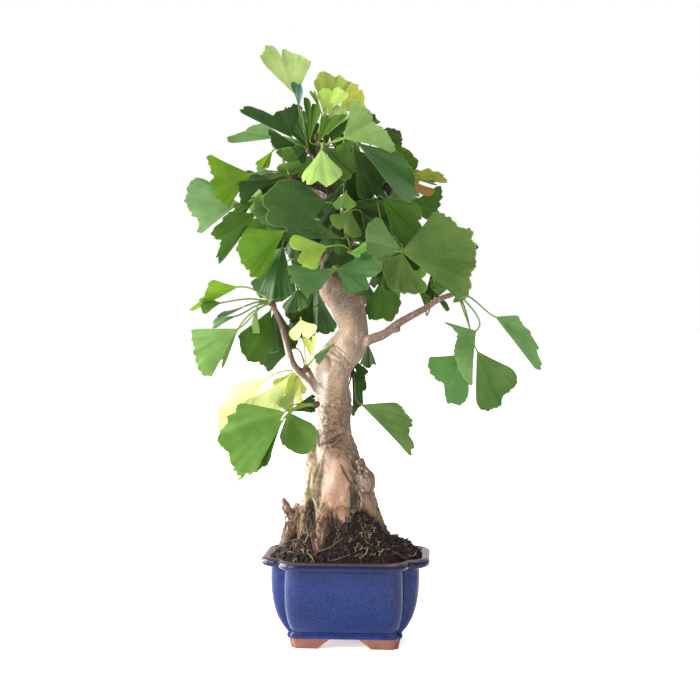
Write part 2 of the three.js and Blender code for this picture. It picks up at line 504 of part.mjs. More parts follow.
// Each leaf is [foot of the blade, one end of its margin, the other end, bulge, notch, swing].
// Places are [x, z, y] on the front elevation. The bulge is how far the middle of the margin reaches
// past its ends, and the notch how deep it is slit, both as a share of the blade's length.
// A swing is stated where it isn't SWING.
const SPRAYS = {
  apex_spray: {
    spur: [-38, 492, -6],
    leaves: [
      [[-50, 545, -14], [-84, 576, -24], [-35, 579, -8], 0.34, 0.16],
      [[-48, 534, -18], [-56, 558, -20], [-43, 550, -16], 0.05, 0.0],
      [[-55, 504, -18], [-106, 528, -32], [-44, 535, -14], -0.3, 0.1],
      [[-63, 505, -10], [-117, 497, -2], [-83, 519, 4], 0.15, 0.1],
      [[-50, 496, -22], [-77, 515, -30], [-70, 493, -32], 0.08, 0.0],
      [[-42, 495, -24], [-57, 496, -32], [-49, 489, -34], 0.05, 0.0],
    ],
  },
  top_spray: {
    spur: [-23, 494, -20],
    leaves: [
      [[-37, 501, -26], [-44, 544, -26], [-25, 530, -26], 0.02, 0.0, 0],
      [[-29, 499, -32], [-26, 526, -32], [2, 527, -30], -0.12, 0.0, 0],
      [[-4, 503, -52], [4, 547, -60], [51, 488, -60], -0.27, 0.05],
      [[-24, 496, -46], [7, 489, -52], [-9, 463, -56], 0.2, 0.0],
      [[-25, 492, -62], [-45, 467, -74], [-7, 471, -72], 0.42, 0.34],
      [[-3, 500, -40], [-11, 495, -44], [3, 485, -44], 0.1, 0.4],
    ],
  },
  crest_spray: {
    spur: [-29, 506, -13],
    leaves: [
      [[-20, 530, -10], [-33, 555, -6], [3, 552, -2], 0.42, 0.2],
      [[-23, 526, -17], [-30, 547, -17], [3, 544, -19], 0.02, 0.22],
      [[-9, 528, -4], [2, 556, 2], [20, 534, 6], 0.12, 0.25],
      [[-25, 528, -12], [-37, 549, -6], [-31, 550, -4], 0.0, 0.0],
      [[-18, 509, -22], [-20, 538, -22], [3, 524, -22], 0.06, 0.0, 0],
    ],
  },
  upper_left_spray: {
    spur: [-56, 465, -22],
    leaves: [
      [[-95, 468, -44], [-140, 489, -54], [-119, 433, -56], -0.1, 0.0],
      [[-76, 463, -34], [-98, 473, -40], [-104, 435, -38], -0.12, 0.0],
      [[-74, 491, -12], [-92, 479, -8], [-77, 475, -20], 0.08, 0.0],
      [[-64, 483, -26], [-71, 489, -28], [-53, 490, -26], 0.0, 0.2],
      [[-47, 470, -6], [-85, 470, -14], [-71, 434, -14], 0.12, 0.0],
    ],
  },
  far_left_spray: {
    spur: [-61, 446, -10],
    leaves: [
      [[-107, 439, -26], [-144, 464, -28], [-147, 407, -30], 0.06, 0.0],
      [[-112, 432, -14], [-132, 410, -12], [-125, 402, -18], 0.1, 0.2],
      [[-90, 429, -36], [-115, 431, -44], [-127, 375, -50], 0.04, 0.0],
      [[-70, 459, -20], [-91, 452, -16], [-93, 429, -20], 0.06, 0.0],
    ],
  },
  centre_spray: {
    spur: [5, 392, -34],
    leaves: [
      [[-20, 440, -50], [-46, 461, -58], [-39, 415, -64], 1.02, 0.05],
      [[-20, 396, -64], [-50, 409, -74], [-30, 373, -78], 0.18, 0.36],
      [[2, 390, -48], [19, 402, -56], [9, 385, -54], 0.0, 0.3],
      [[-1, 404, -17], [-25, 378, -17], [13, 374, -15], 0.12, 0.1, 0],
      [[-11, 426, -22], [-31, 396, -26], [3, 394, -24], 0.12, 0.1],
    ],
  },
  mid_left_spray: {
    spur: [-54, 406, -18],
    leaves: [
      [[-62, 412, -34], [-99, 414, -42], [-84, 365, -46], 0.17, 0.0],
      [[-64, 399, -26], [-89, 352, -42], [-51, 354, -40], 0.14, 0.0],
      [[-61, 437, -38], [-92, 442, -44], [-81, 418, -46], 0.08, 0.1],
      [[-60, 411, -22], [-79, 420, -22], [-75, 412, -28], 0.0, 0.0],
      [[-44, 429, -6], [-64, 392, -16], [-27, 387, -14], 0.12, 0.1],
    ],
  },
  heart_spray: {
    spur: [-3, 428, -30],
    leaves: [
      [[4, 431, -54], [-17, 428, -62], [17, 409, -64], 0.02, 0.35],
      [[-1, 450, -52], [-15, 439, -58], [9, 439, -58], 0.12, 0.35],
      [[-3, 437, -40], [29, 446, -38], [39, 428, -44], 0.0, 0.05],
      [[-5, 404, -40], [-64, 402, -44], [-35, 426, -42], 0.06, 0.1],
      [[14, 431, -36], [30, 421, -38], [19, 398, -44], 0.08, 0.0],
      [[5, 444, -22], [3, 406, -30], [46, 420, -28], 0.1, 0.1],
      [[-9, 444, -15], [-31, 418, -17], [-2, 404, -15], 0.12, 0.1, 0],
      [[-6, 456, -8], [-25, 442, -8], [-7, 420, -8], 0.16, 0.1, 0],
    ],
  },
  upper_right_spray: {
    spur: [15, 482, -18],
    leaves: [
      [[6, 495, -42], [11, 448, -54], [45, 444, -52], 0.08, 0.16],
      [[10, 499, -34], [46, 492, -46], [55, 438, -54], 0.16, 0.08],
      [[3, 494, -14], [-3, 446, -24], [27, 452, -24], 0.1, 0.1],
      [[3, 504, -12], [-13, 514, -12], [-9, 492, -12], 0.1, 0.0, 0],
      [[8, 492, -26], [25, 452, -26], [44, 482, -26], 0.1, 0.0, 0],
    ],
  },
  shoulder_spray: {
    spur: [45, 456, -12],
    leaves: [
      [[37, 501, -14], [58, 494, -14], [67, 470, -18], 0.06, 0.0],
      [[15, 511, -2], [20, 529, 6], [34, 519, 8], 0.0, 0.0],
      [[27, 506, -4], [41, 515, 6], [54, 495, 2], 0.06, 0.0],
      [[58, 436, -8], [93, 458, -2], [83, 420, -8], 0.12, 0.0],
      [[37, 452, -4], [21, 436, -4], [47, 420, -4], 0.14, 0.1, 0],
    ],
  },
  autumn_spray: {
    spur: [52, 464, -22],
    leaves: [
      [[60, 465, -20], [79, 474, -20], [99, 459, -22], 0.05, 0.5],
      [[61, 463, -24], [87, 451, -28], [64, 442, -32], -0.22, 0.3],
    ],
  },
  mid_right_spray: {
    spur: [38, 398, -34],
    leaves: [
      [[54, 391, -72], [85, 428, -76], [107, 347, -82], 0.17, 0.04, 0],
      [[55, 390, -70], [83, 354, -76], [36, 384, -74], 0.14, 0.0, 0],
      [[56, 392, -68], [33, 380, -72], [32, 427, -70], 0.14, 0.0, 0],
      [[35, 445, -44], [67, 441, -46], [49, 388, -54], 0.2, 0.0],
      [[39, 388, -44], [21, 361, -52], [44, 354, -52], 0.08, 0.15],
    ],
  },
  right_back_spray: {
    spur: [103, 380, 10],
    leaves: [
      [[110, 386, -4], [118, 412, 0], [131, 394, -2], 0.0, 0.3],
      [[113, 371, -10], [127, 384, -10], [126, 368, -12], 0.05, 0.0],
      [[105, 358, -8], [87, 365, -8], [93, 347, -10], 0.05, 0.0],
      [[85, 354, -2], [98, 331, -4], [102, 337, -2], 0.0, 0.2],
      [[79, 331, -6], [71, 354, -6], [84, 342, -4], 0.0, 0.0],
    ],
  },
  right_tip_spray: {
    spur: [111, 350, -30],
    leaves: [
      [[148, 326, -38], [171, 328, -32], [192, 268, -44], -0.06, 0.0],
      [[129, 312, -44], [99, 321, -36], [125, 255, -48], -0.46, 0.0],
      [[120, 289, -36], [86, 280, -38], [123, 244, -42], 0.26, 0.42],
      [[130, 292, -26], [170, 272, -18], [133, 240, -24], 0.2, 0.04],
      [[110, 351, -34], [105, 341, -38], [122, 349, -38], 0.1, 0.0],
    ],
  },
  low_centre_spray: {
    spur: [-9, 374, -30],
    leaves: [
      [[-12, 372, -50], [-58, 379, -58], [-28, 351, -62], 0.17, 0.12],
      [[-10, 374, -48], [24, 396, -54], [-2, 349, -56], 0.22, 0.42],
      [[-50, 355, -44], [-48, 332, -50], [-40, 345, -48], 0.0, 0.0],
      [[-49, 354, -24], [-66, 337, -22], [-49, 331, -24], 0.05, 0.0],
    ],
  },
  left_tip_spray: {
    spur: [-76, 340, -30],
    leaves: [
      [[-108, 356, -38], [-132, 362, -42], [-155, 330, -42], -0.12, 0.25],
      [[-126, 340, -30], [-140, 346, -26], [-141, 329, -28], 0.1, 0.0],
      [[-101, 337, -34], [-130, 323, -36], [-125, 330, -24], 0.0, 0.0],
      [[-110, 327, -24], [-130, 326, -18], [-134, 314, -22], 0.0, 0.0],
      [[-109, 314, -46], [-153, 315, -54], [-138, 262, -58], -0.02, 0.04],
      [[-110, 312, -36], [-127, 290, -38], [-122, 273, -34], -0.05, 0.0],
      [[-90, 336, -38], [-99, 310, -42], [-88, 311, -34], 0.0, 0.0],
      [[-76, 333, -20], [-110, 307, -24], [-75, 293, -26], 0.3, 0.06],
      [[-71, 336, -12], [-89, 298, -14], [-47, 302, -12], 0.1, 0.1, 0],
    ],
  },
  left_mid_spray: {
    spur: [-41, 275, -26],
    leaves: [
      [[-53, 295, -16], [-81, 310, -10], [-79, 269, -18], 0.02, 0.12],
      [[-46, 323, -22], [-59, 311, -26], [-30, 318, -24], 0.22, 0.45],
      [[-15, 297, -44], [-33, 287, -48], [-27, 278, -50], 0.0, 0.0],
    ],
  },
  lower_left_spray: {
    spur: [-32, 238, -24],
    leaves: [
      [[-63, 225, -44], [-101, 190, -50], [-85, 173, -50], 0.06, 0.0],
      [[-62, 231, -50], [-102, 240, -56], [-89, 176, -64], 0.28, 0.06],
      [[-65, 222, -36], [-111, 179, -42], [-105, 162, -44], 0.0, 0.0],
      [[-65, 221, -40], [-95, 170, -46], [-80, 178, -44], 0.0, 0.0],
      [[-59, 231, -30], [-66, 212, -32], [-32, 218, -28], 0.8, 0.0],
      [[-58, 231, -18], [-36, 250, -10], [-33, 231, -6], 0.0, 0.0],
    ],
  },
  yellow_spray: {
    spur: [-39, 268, 14],
    leaves: [
      [[-50, 273, -2], [-75, 262, -2], [-38, 251, 4], 0.08, 0.1],
      [[-79, 265, -14], [-110, 260, -8], [-124, 197, -10], 0.02, 0.3],
      [[-59, 265, -8], [-104, 241, -6], [-66, 229, -4], 0.04, 0.0],
      [[-48, 263, 6], [-60, 243, 10], [-43, 236, 12], 0.0, 0.35],
    ],
  },
  behind_spray: {
    spur: [5, 270, 20],
    leaves: [
      [[14, 238, 6], [45, 241, 10], [67, 183, 0], -0.02, 0.2],
      [[5, 274, 18], [17, 266, 24], [5, 232, 20], 0.04, 0.15],
      [[21, 299, 22], [30, 279, 24], [11, 274, 24], 0.0, 0.2],
      [[1, 240, 20], [10, 235, 26], [5, 226, 22], 0.1, 0.0],
    ],
  },
  hollow_spray: {
    spur: [-25, 366, 14],
    leaves: [
      [[-34, 352, 12], [-63, 312, 10], [-31, 305, 12], 0.1, 0.1, 0],
      [[-30, 353, 14], [-38, 314, 8], [-10, 317, 16], 0.06, 0.1],
      [[-32, 336, 10], [-61, 331, 10], [-55, 320, 4], 0.0, 0.0],
    ],
  },
  under_crown_spray: {
    spur: [7, 372, 12],
    leaves: [
      [[36, 366, 14], [17, 334, 8], [56, 340, 10], 0.26, 0.12],
    ],
  },
};

// Sprays at the back of the crown: the place of the spur, and which way and how far its leaves point.
const BACK_SPRAYS = {
  back_top_spray: { spur: [-21, 491, 23], leaves: 6, outward: [-0.1, 0.3, 1] },
  back_left_spray: { spur: [-48, 452, 33], leaves: 6, outward: [-0.35, 0, 0.9] },
  back_right_spray: { spur: [21, 458, 34], leaves: 6, outward: [0.4, 0, 0.9] },
  back_middle_spray: { spur: [-10, 412, 38], leaves: 5, outward: [0, 0, 1] },
  back_low_left_spray: { spur: [-48, 385, 31], leaves: 5, outward: [-0.1, 0.1, 1] },
  back_low_right_spray: { spur: [29, 383, 33], leaves: 5, outward: [0.1, 0.1, 1] },
};
const BACK_PETIOLE = [14, 28]; // shortest and longest
const BACK_BLADE = [34, 46];
const BACK_SPREAD = [0.45, 0.8]; // half of a blade's spread, in radians
const BACK_LEAN = [0.9, 1.2]; // how far the stalks splay out, as the tangent of their angle
const DROOP = 0.8;
const BACK_BULGE = 0.12;
const BACK_NOTCH = [0, 0.3];
const SEED = 34;

// A repeatable run of numbers from 0 to 1.
function drawer(seed) {
  let state = seed;
  return () => {
    state = (state * 1103515245 + 12345) % 2147483648;
    return state / 2147483648;
  };
}

const arrayOf = ({ x, y, z }) => [x, z, y]; // a vector on the elevation as [x, z, y]
const vectorOf = ([x, z, y]) => new THREE.Vector3(x, y, z);

// The leaves of a spray at the back, fanned round its outward direction and drooping at their tips.
function backLeaves({ spur, leaves, outward }, draw) {
  const between = ([low, high]) => low + (high - low) * draw();
  const out = vectorOf(outward).normalize();
  const side = new THREE.Vector3(0, 0, 1).cross(out).normalize();
  const up = out.clone().cross(side);
  const rows = [];
  for (let i = 0; i < leaves; i++) {
    const turn = (2 * Math.PI * (i + 0.6 * draw())) / leaves;
    const lean = between(BACK_LEAN);
    const stalk = out
      .clone()
      .addScaledVector(side, lean * Math.cos(turn))
      .addScaledVector(up, lean * Math.sin(turn))
      .normalize();
    const foot = vectorOf(spur).addScaledVector(stalk, between(BACK_PETIOLE));
    const heading = stalk
      .clone()
      .add(new THREE.Vector3(0, 0, -DROOP))
      .addScaledVector(out, 0.2)
      .normalize();
    const across = heading.clone().cross(out).normalize();
    const spread = between(BACK_SPREAD);
    const length = between(BACK_BLADE);
    const corner = (way) =>
      foot
        .clone()
        .addScaledVector(heading, length * Math.cos(spread))
        .addScaledVector(across, way * length * Math.sin(spread));
    rows.push([arrayOf(foot), arrayOf(corner(-1)), arrayOf(corner(1)), BACK_BULGE, between(BACK_NOTCH), 0]);
  }
  return rows;
}

// The ends of a leaf's blade, its plane and its heading, worked out from its row.
function bladeFrame([base, first, second, , , swing = SWING], index) {
  const foot = place(base);
  const end = ([x, z, y], phase) => {
    const length = Math.hypot(x - base[0], z - base[1]);
    return place([x, z, y + swing * length * Math.sin(SWING_STEP * index + phase)]).sub(foot);
  };
  const one = end(first, 0);
  const other = end(second, SWING_LAG);
  const normal = one.clone().cross(other).normalize();
  const spread = one.angleTo(other);
  const heading = one.clone().normalize().applyAxisAngle(normal, spread / 2);
  return { foot, one, other, normal, spread, heading };
}

// The middle surface's margin: hollowed, waved and notched.
function margin({ foot, one, other, normal, spread }, [, , , bulge, notch], phase) {
  const longest = Math.max(one.length(), other.length());
  const segments = longest > SMALL_BLADE ? BLADE_SEGMENTS : SMALL_SEGMENTS;
  const points = [];
  for (let i = 0; i <= segments; i++) {
    const u = i / segments;
    const slit = notch * Math.exp(-(((u - 0.5) / NOTCH_WIDTH) ** 2));
    const edge = 1 + bulge * 4 * u * (1 - u) - slit + MARGIN_WAVE * (i % 2 ? 1 : -1);
    const reach = edge * THREE.MathUtils.lerp(one.length(), other.length(), u);
    const hollow = CUP * Math.sin(Math.PI * u) + RIPPLE * Math.sin(4 * Math.PI * u + phase);
    const direction = one.clone().normalize().applyAxisAngle(normal, u * spread);
    points.push(foot.clone().addScaledVector(direction, reach).addScaledVector(normal, hollow * reach));
  }
  return points;
}

// The sections of a leaf's stalk, four corners each.
// The stalk leaves the spur upwards and arches over to the blade.
function stalkRings(spur, { foot, normal, heading }, extra) {
  const centre = place(spur);
  const span = centre.distanceTo(foot);
  const upwards = new THREE.Vector3(0, 0, STALK_ARCH);
  const away = foot.clone().sub(centre).normalize().add(upwards).normalize();
  const start = centre.addScaledVector(away, 0.4 * SPUR_RADIUS);
  const curve = new THREE.CubicBezierCurve3(
    start,
    start.clone().addScaledVector(away, 0.4 * span),
    foot.clone().addScaledVector(heading, -0.35 * span),
    foot,
  );
  const steps = span < STALK_STEP / 2 ? 1 : Math.max(2, Math.round(span / STALK_STEP));
  const across = normal.clone().cross(heading);
  const tangent = heading.clone();
  const rings = [];
  for (let step = steps; step >= 0; step--) {
    const next = curve.getTangentAt(step / steps);
    across.applyQuaternion(new THREE.Quaternion().setFromUnitVectors(tangent, next)).normalize();
    tangent.copy(next);
    const up = tangent.clone().cross(across);
    const high = (step === steps ? BLADE_THICKNESS / 2 : STALK_RADIUS) + extra;
    const wide = STALK_RADIUS + extra;
    const middle = curve.getPointAt(step / steps);
    const corner = (w, h) => middle.clone().addScaledVector(across, w * wide).addScaledVector(up, h * high);
    rings.unshift([corner(-1, 1), corner(-1, -1), corner(1, -1), corner(1, 1)]);
  }
  return rings;
}

// A leaf in one closed piece, with both faces of its blade split into the same triangles.
function leafSolid(spur, row, phase, extra) {
  const frame = bladeFrame(row, phase);
  const rings = stalkRings(spur, frame, extra);
  const edge = margin(frame, row, phase);
  const half = BLADE_THICKNESS / 2 + extra;
  const points = rings.flat();
  points.push(...edge.map((point) => point.clone().addScaledVector(frame.normal, half)));
  points.push(...edge.map((point) => point.clone().addScaledVector(frame.normal, -half)));

  const faces = [0, 2, 1, 0, 3, 2];
  const quad = (a, b, c, d) => faces.push(a, b, c, a, c, d);
  for (let ring = 0; ring < rings.length - 1; ring++) {
    for (let i = 0; i < 4; i++) {
      const j = (i + 1) % 4;
      quad(4 * ring + i, 4 * ring + j, 4 * ring + 4 + j, 4 * ring + 4 + i);
    }
  }
  const [upperLeft, lowerLeft, lowerRight, upperRight] = [4, 3, 2, 1].map((i) => 4 * rings.length - i);
  const upper = 4 * rings.length;
  const lower = upper + edge.length;
  const last = edge.length - 1;
  const turn = last / 2; // where the fan changes from one corner of the foot to the other
  for (let i = 0; i < last; i++) {
    const left = i < turn;
    faces.push(left ? upperLeft : upperRight, upper + i, upper + i + 1);
    faces.push(left ? lowerLeft : lowerRight, lower + i + 1, lower + i);
    quad(upper + i, lower + i, lower + i + 1, upper + i + 1);
  }
  faces.push(upperLeft, upper + turn, upperRight, lowerLeft, lowerRight, lower + turn);
  quad(upperLeft, lowerLeft, lower, upper);
  quad(upper + last, lower + last, lowerRight, upperRight);
  return solidOf(points, faces);
}

// A spur and all its leaves, with every surface moved out by extra.
function spraySolid({ spur, leaves }, extra) {
  const knob = new THREE.OctahedronGeometry(SPUR_RADIUS + extra, 0).translate(...place(spur).toArray());
  const pieces = [solidOfGeometry(knob)];
  leaves.forEach((leaf, i) => {
    pieces.push(leafSolid(spur, leaf, i, extra));
  });
  return unite(pieces);
}

// ---- The whole object ----

const SPRAY_COLOURS = {
  crest_spray: COLOURS.youngYellow,
  autumn_spray: COLOURS.amber,
  yellow_spray: COLOURS.paleYellow,
  low_centre_spray: COLOURS.deepGreen,
  upper_right_spray: COLOURS.deepGreen,
  lower_left_spray: COLOURS.brightGreen,
};

function bonsai() {
  const group = new THREE.Group();
  group.add(meshOf("pot", potSolid(), COLOURS.glaze, 0.25));
  group.add(meshOf("drain_screen_left", screenSolid(-1), COLOURS.screen, 0.6));
  group.add(meshOf("drain_screen_right", screenSolid(1), COLOURS.screen, 0.6));
  group.add(meshOf("soil", soilSolid(), COLOURS.soil, 0.95));
  group.add(meshOf("trunk", mainBody(woodSolid(0)), COLOURS.bark, 0.85));

  const draw = drawer(SEED);
  const sprays = Object.entries(SPRAYS);
  for (const [name, spray] of Object.entries(BACK_SPRAYS)) {
    sprays.push([name, { spur: spray.spur, leaves: backLeaves(spray, draw) }]);
  }
  let taken = woodSolid(GAP);
  for (const [name, spray] of sprays) {
    const solid = mainBody(spraySolid(spray, 0).subtract(taken));
    group.add(meshOf(name, solid, SPRAY_COLOURS[name] ?? COLOURS.green, 0.5));
    taken = taken.add(spraySolid(spray, GAP));
  }

  // The origin goes under the middle of everything, so the tree's own axis is a little off it.
  const bounds = new THREE.Box3().setFromObject(group);
  const centre = bounds.getCenter(new THREE.Vector3());
  group.position.set(-centre.x, -centre.y, -bounds.min.z);
  return group;
}

export default bonsai();
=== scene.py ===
"""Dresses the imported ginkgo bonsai: its glazed pot, soil, wood and leaves, and the stage it stands on.

Places on the tree are read off a front elevation, in millimetres from the pot's axis: x to the
right, z up and y away from the viewer. Everything is built in millimetres round that axis and put
into the frame, in metres, when it is made a piece.
"""

import math
import random

import bmesh
import bpy
import numpy as np
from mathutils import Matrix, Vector, noise
from mathutils.bvhtree import BVHTree


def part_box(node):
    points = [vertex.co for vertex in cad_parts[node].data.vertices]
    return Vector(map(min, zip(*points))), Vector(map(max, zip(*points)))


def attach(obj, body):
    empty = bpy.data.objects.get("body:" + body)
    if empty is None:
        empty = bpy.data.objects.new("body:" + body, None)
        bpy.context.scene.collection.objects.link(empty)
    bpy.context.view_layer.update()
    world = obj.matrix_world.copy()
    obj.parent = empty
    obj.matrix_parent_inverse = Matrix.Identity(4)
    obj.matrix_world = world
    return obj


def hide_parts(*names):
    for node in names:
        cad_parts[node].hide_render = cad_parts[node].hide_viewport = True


bl_info = {
    "name": "Ginkgo Bonsai",
    "version": (1, 0, 0),
    "blender": (4, 5, 0),
    "location": "3D View > Sidebar > Bonsai",
    "description": "Builds a potted ginkgo bonsai round its packed solids",
    "category": "Add Mesh",
}

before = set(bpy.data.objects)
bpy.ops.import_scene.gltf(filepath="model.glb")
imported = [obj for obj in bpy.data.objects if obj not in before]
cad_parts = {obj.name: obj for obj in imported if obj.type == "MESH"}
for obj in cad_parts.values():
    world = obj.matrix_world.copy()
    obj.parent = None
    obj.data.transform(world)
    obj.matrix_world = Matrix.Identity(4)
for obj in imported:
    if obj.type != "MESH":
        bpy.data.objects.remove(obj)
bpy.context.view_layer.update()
POT_LOW, POT_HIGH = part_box("pot")
POT_AXIS = Vector(((POT_LOW.x + POT_HIGH.x) / 2, (POT_LOW.y + POT_HIGH.y) / 2, 0))
PER_METRE = 1000  # millimetres
TINY = 1e-9  # stands in for a length of nothing

# ---- The front elevation ----

TREE_TURN = math.radians(4)
EYE_DISTANCE = 1500
EYE_HEIGHT = 361
EYE_X = 3
EYE_AIM = 292.9  # height of the middle of the view
FOCAL_LENGTH = 1502  # in pixels of a view IMAGE_SIZE wide
IMAGE_SIZE = 700
UP = np.array((0.0, 0.0, 1.0))


def colour(red, green, blue):
    """A colour picked on a screen, from 0 to 255, as Blender's linear one."""
    shares = [value / 255 for value in (red, green, blue)]
    return tuple(s / 12.92 if s <= 0.04045 else ((s + 0.055) / 1.055) ** 2.4 for s in shares)


def dimmed(tint, share):
    return tuple(share * part for part in tint)


def turned(points, angle):
    """Points turned about the pot's axis."""
    points = np.asarray(points, float)
    cos, sin = math.cos(angle), math.sin(angle)
    x, y, z = points[..., 0], points[..., 1], points[..., 2]
    return np.stack((cos * x - sin * y, sin * x + cos * y, z), -1)


def place(x, z, y):
    """A point of the elevation as a point round the pot's axis."""
    scale = (EYE_DISTANCE + y) / EYE_DISTANCE
    point = (EYE_X + (x - EYE_X) * scale, y, EYE_HEIGHT + (z - EYE_HEIGHT) * scale)
    return turned(point, TREE_TURN)


def elevation(points):
    """Points round the pot's axis as x, z and y on the elevation."""
    flat = turned(points, -TREE_TURN)
    scale = (EYE_DISTANCE + flat[:, 1]) / EYE_DISTANCE
    x = EYE_X + (flat[:, 0] - EYE_X) / scale
    z = EYE_HEIGHT + (flat[:, 2] - EYE_HEIGHT) / scale
    return x, z, flat[:, 1]


# ---- Small tools ----


def unit(vector):
    return vector / max(np.linalg.norm(vector), TINY)


def lerp(low, high, share):
    return low + (high - low) * share


def fade(value, low, high):
    """0 below low, 1 above high and smooth between; low may be the larger."""
    share = np.clip((value - low) / (high - low), 0, 1)
    return share * share * (3 - 2 * share)


def spline(rows, steps):
    """Rows of numbers joined by a centripetal Catmull-Rom curve, whose first three are a place."""
    rows = np.asarray(rows, float)
    ends = (2 * rows[0] - rows[1], 2 * rows[-1] - rows[-2])
    rows = np.vstack((ends[0], rows, ends[1]))
    made = []
    for i in range(1, len(rows) - 2):
        before, start, end, after = rows[i - 1 : i + 3]
        hops = start - before, end - start, after - end
        gaps = [max(np.linalg.norm(hop[:3]) ** 0.5, 1e-4) for hop in hops]
        leave = (start - before) / gaps[0] - (end - before) / (gaps[0] + gaps[1]) + (end - start) / gaps[1]
        arrive = (end - start) / gaps[1] - (after - start) / (gaps[1] + gaps[2]) + (after - end) / gaps[2]
        leave, arrive = leave * gaps[1], arrive * gaps[1]
        for t in np.arange(steps) / steps:
            cubic = (2 * t**3 - 3 * t**2 + 1) * start + (t**3 - 2 * t**2 + t) * leave
            made.append(cubic + (3 * t**2 - 2 * t**3) * end + (t**3 - t**2) * arrive)
    made.append(rows[-2])
    return np.array(made)


def frames_along(centres):
    """Two directions across a line at each of its points, turning as little as they can."""
    tangents = np.gradient(centres, axis=0)
    tangents /= np.maximum(np.linalg.norm(tangents, axis=1, keepdims=True), TINY)
    least = np.eye(3)[np.argmin(np.abs(tangents[0]))]
    side = np.cross(tangents[0], unit(np.cross(tangents[0], least)))
    sides = [side]
    for tangent in tangents[1:]:
        side = unit(side - tangent * side.dot(tangent))
        sides.append(side)
    sides = np.array(sides)
    return tangents, sides, np.cross(tangents, sides)


def ring_faces(count, rings, closed=False):
    """The faces between rings of points. The first ring follows the last, or both have a cap."""
    ring = np.arange(count)
    after = np.roll(ring, -1)
    faces = []
    for i in range(rings if closed else rings - 1):
        low, high = i * count, (i + 1) % rings * count
        faces += np.stack((low + ring, low + after, high + after, high + ring), 1).tolist()
    if not closed:
        faces += [ring[::-1].tolist(), ((rings - 1) * count + ring).tolist()]
    return faces


def tube(centres, radii, sides, swell=None):
    """The points and faces of a closed tube along a line."""
    _, side, other = frames_along(centres)
    angles = 2 * np.pi * np.arange(sides) / sides
    length = np.concatenate(((0,), np.cumsum(np.linalg.norm(np.diff(centres, axis=0), axis=1))))
    reach = np.repeat(np.asarray(radii, float)[:, None], sides, 1)
    if swell:
        reach = reach * swell(angles[None, :], length[:, None], reach)
    across = np.cos(angles)[None, :, None] * side[:, None] + np.sin(angles)[None, :, None] * other[:, None]
    points = centres[:, None] + reach[:, :, None] * across
    return points.reshape(-1, 3), ring_faces(sides, len(centres))


class Shape:
    """Points, faces and values on the points, gathered from many small shapes."""

    def __init__(self):
        self.points, self.faces, self.values, self.count = [], [], {}, 0

    def add(self, points, faces, **values):
        self.faces += [[i + self.count for i in face] for face in faces]
        self.points.append(np.asarray(points, float))
        self.count += len(points)
        for name, value in values.items():
            self.values.setdefault(name, []).append(value)

    def mesh(self, name):
        values = {key: np.concatenate(parts) for key, parts in self.values.items()}
        return mesh_of(name, np.vstack(self.points), self.faces, values)


def in_frame(points):
    """Points round the pot's axis, in millimetres, as the frame's, in metres."""
    return np.asarray(points) / PER_METRE + np.array(POT_AXIS)


def mesh_of(name, points, faces, values=None, smooth=True):
    """A mesh in the frame from points round the pot's axis."""
    mesh = bpy.data.meshes.new(name)
    mesh.from_pydata(in_frame(points).tolist(), [], faces)
    for key, value in (values or {}).items():
        set_values(mesh, key, value)
    smooth_faces(mesh, smooth)
    mesh.update()
    return mesh


def smooth_faces(mesh, smooth=True):
    mesh.polygons.foreach_set("use_smooth", [smooth] * len(mesh.polygons))


def set_values(mesh, name, value):
    """Values on a mesh's points: one number, three, or a colour of four."""
    value = np.asarray(value, np.float32)
    width = 1 if value.ndim == 1 else value.shape[1]
    kind, field = {1: ("FLOAT", "value"), 3: ("FLOAT_VECTOR", "vector"), 4: ("FLOAT_COLOR", "color")}[width]
    mesh.attributes.new(name, kind, "POINT").data.foreach_set(field, value.ravel())


def read_rows(items, field, width, kind=np.float32):
    """A field of a mesh's points or edges, as rows of numbers."""
    flat = np.zeros(width * len(items), kind)
    items.foreach_get(field, flat)
    return flat.reshape(-1, width)


def points_of(mesh):
    """A mesh's points round the pot's axis, in millimetres."""
    return (read_rows(mesh.vertices, "co", 3).astype(float) - np.array(POT_AXIS)) * PER_METRE


def normals_of(mesh):
    return read_rows(mesh.vertex_normals, "vector", 3).astype(float)


def edges_of(mesh):
    return read_rows(mesh.edges, "vertices", 2, np.int32)


def move_points(mesh, points):
    mesh.vertices.foreach_set("co", in_frame(points).astype(np.float32).ravel())
    mesh.update()


def linked(name, data):
    """A new object in the scene."""
    made = bpy.data.objects.new(name, data)
    bpy.context.scene.collection.objects.link(made)
    return made


def piece_of(name, mesh, finish, slot, *nodes):
    """A piece in the scene that stands for the nodes and rides on the whole object's body."""
    piece = linked(name, mesh)
    mesh.materials.clear()
    mesh.materials.append(finish)
    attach(piece, "root")
    if nodes:
        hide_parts(*nodes)
    return piece


def applied(mesh, *modifiers):
    """A mesh with modifiers made real. Each modifier is its type and its settings."""
    helper = linked("helper", mesh)
    for kind, settings in modifiers:
        modifier = helper.modifiers.new(kind.title(), kind)
        for name, value in settings.items():
            setattr(modifier, name, value)
    return made_real(helper)


def made_real(helper):
    """The mesh that an object's modifiers make. The object itself goes."""
    depsgraph = bpy.context.evaluated_depsgraph_get()
    made = bpy.data.meshes.new_from_object(helper.evaluated_get(depsgraph), depsgraph=depsgraph)
    bpy.data.objects.remove(helper)
    return made


def noise_on(points, size, seed=0.0):
    """Smooth noise from -1 to 1 at each point, with lumps of about a size or three sizes."""
    scaled = (points / np.asarray(size, float) + seed).tolist()
    return np.array([noise.noise(p) for p in scaled])


# ---- Node trees ----


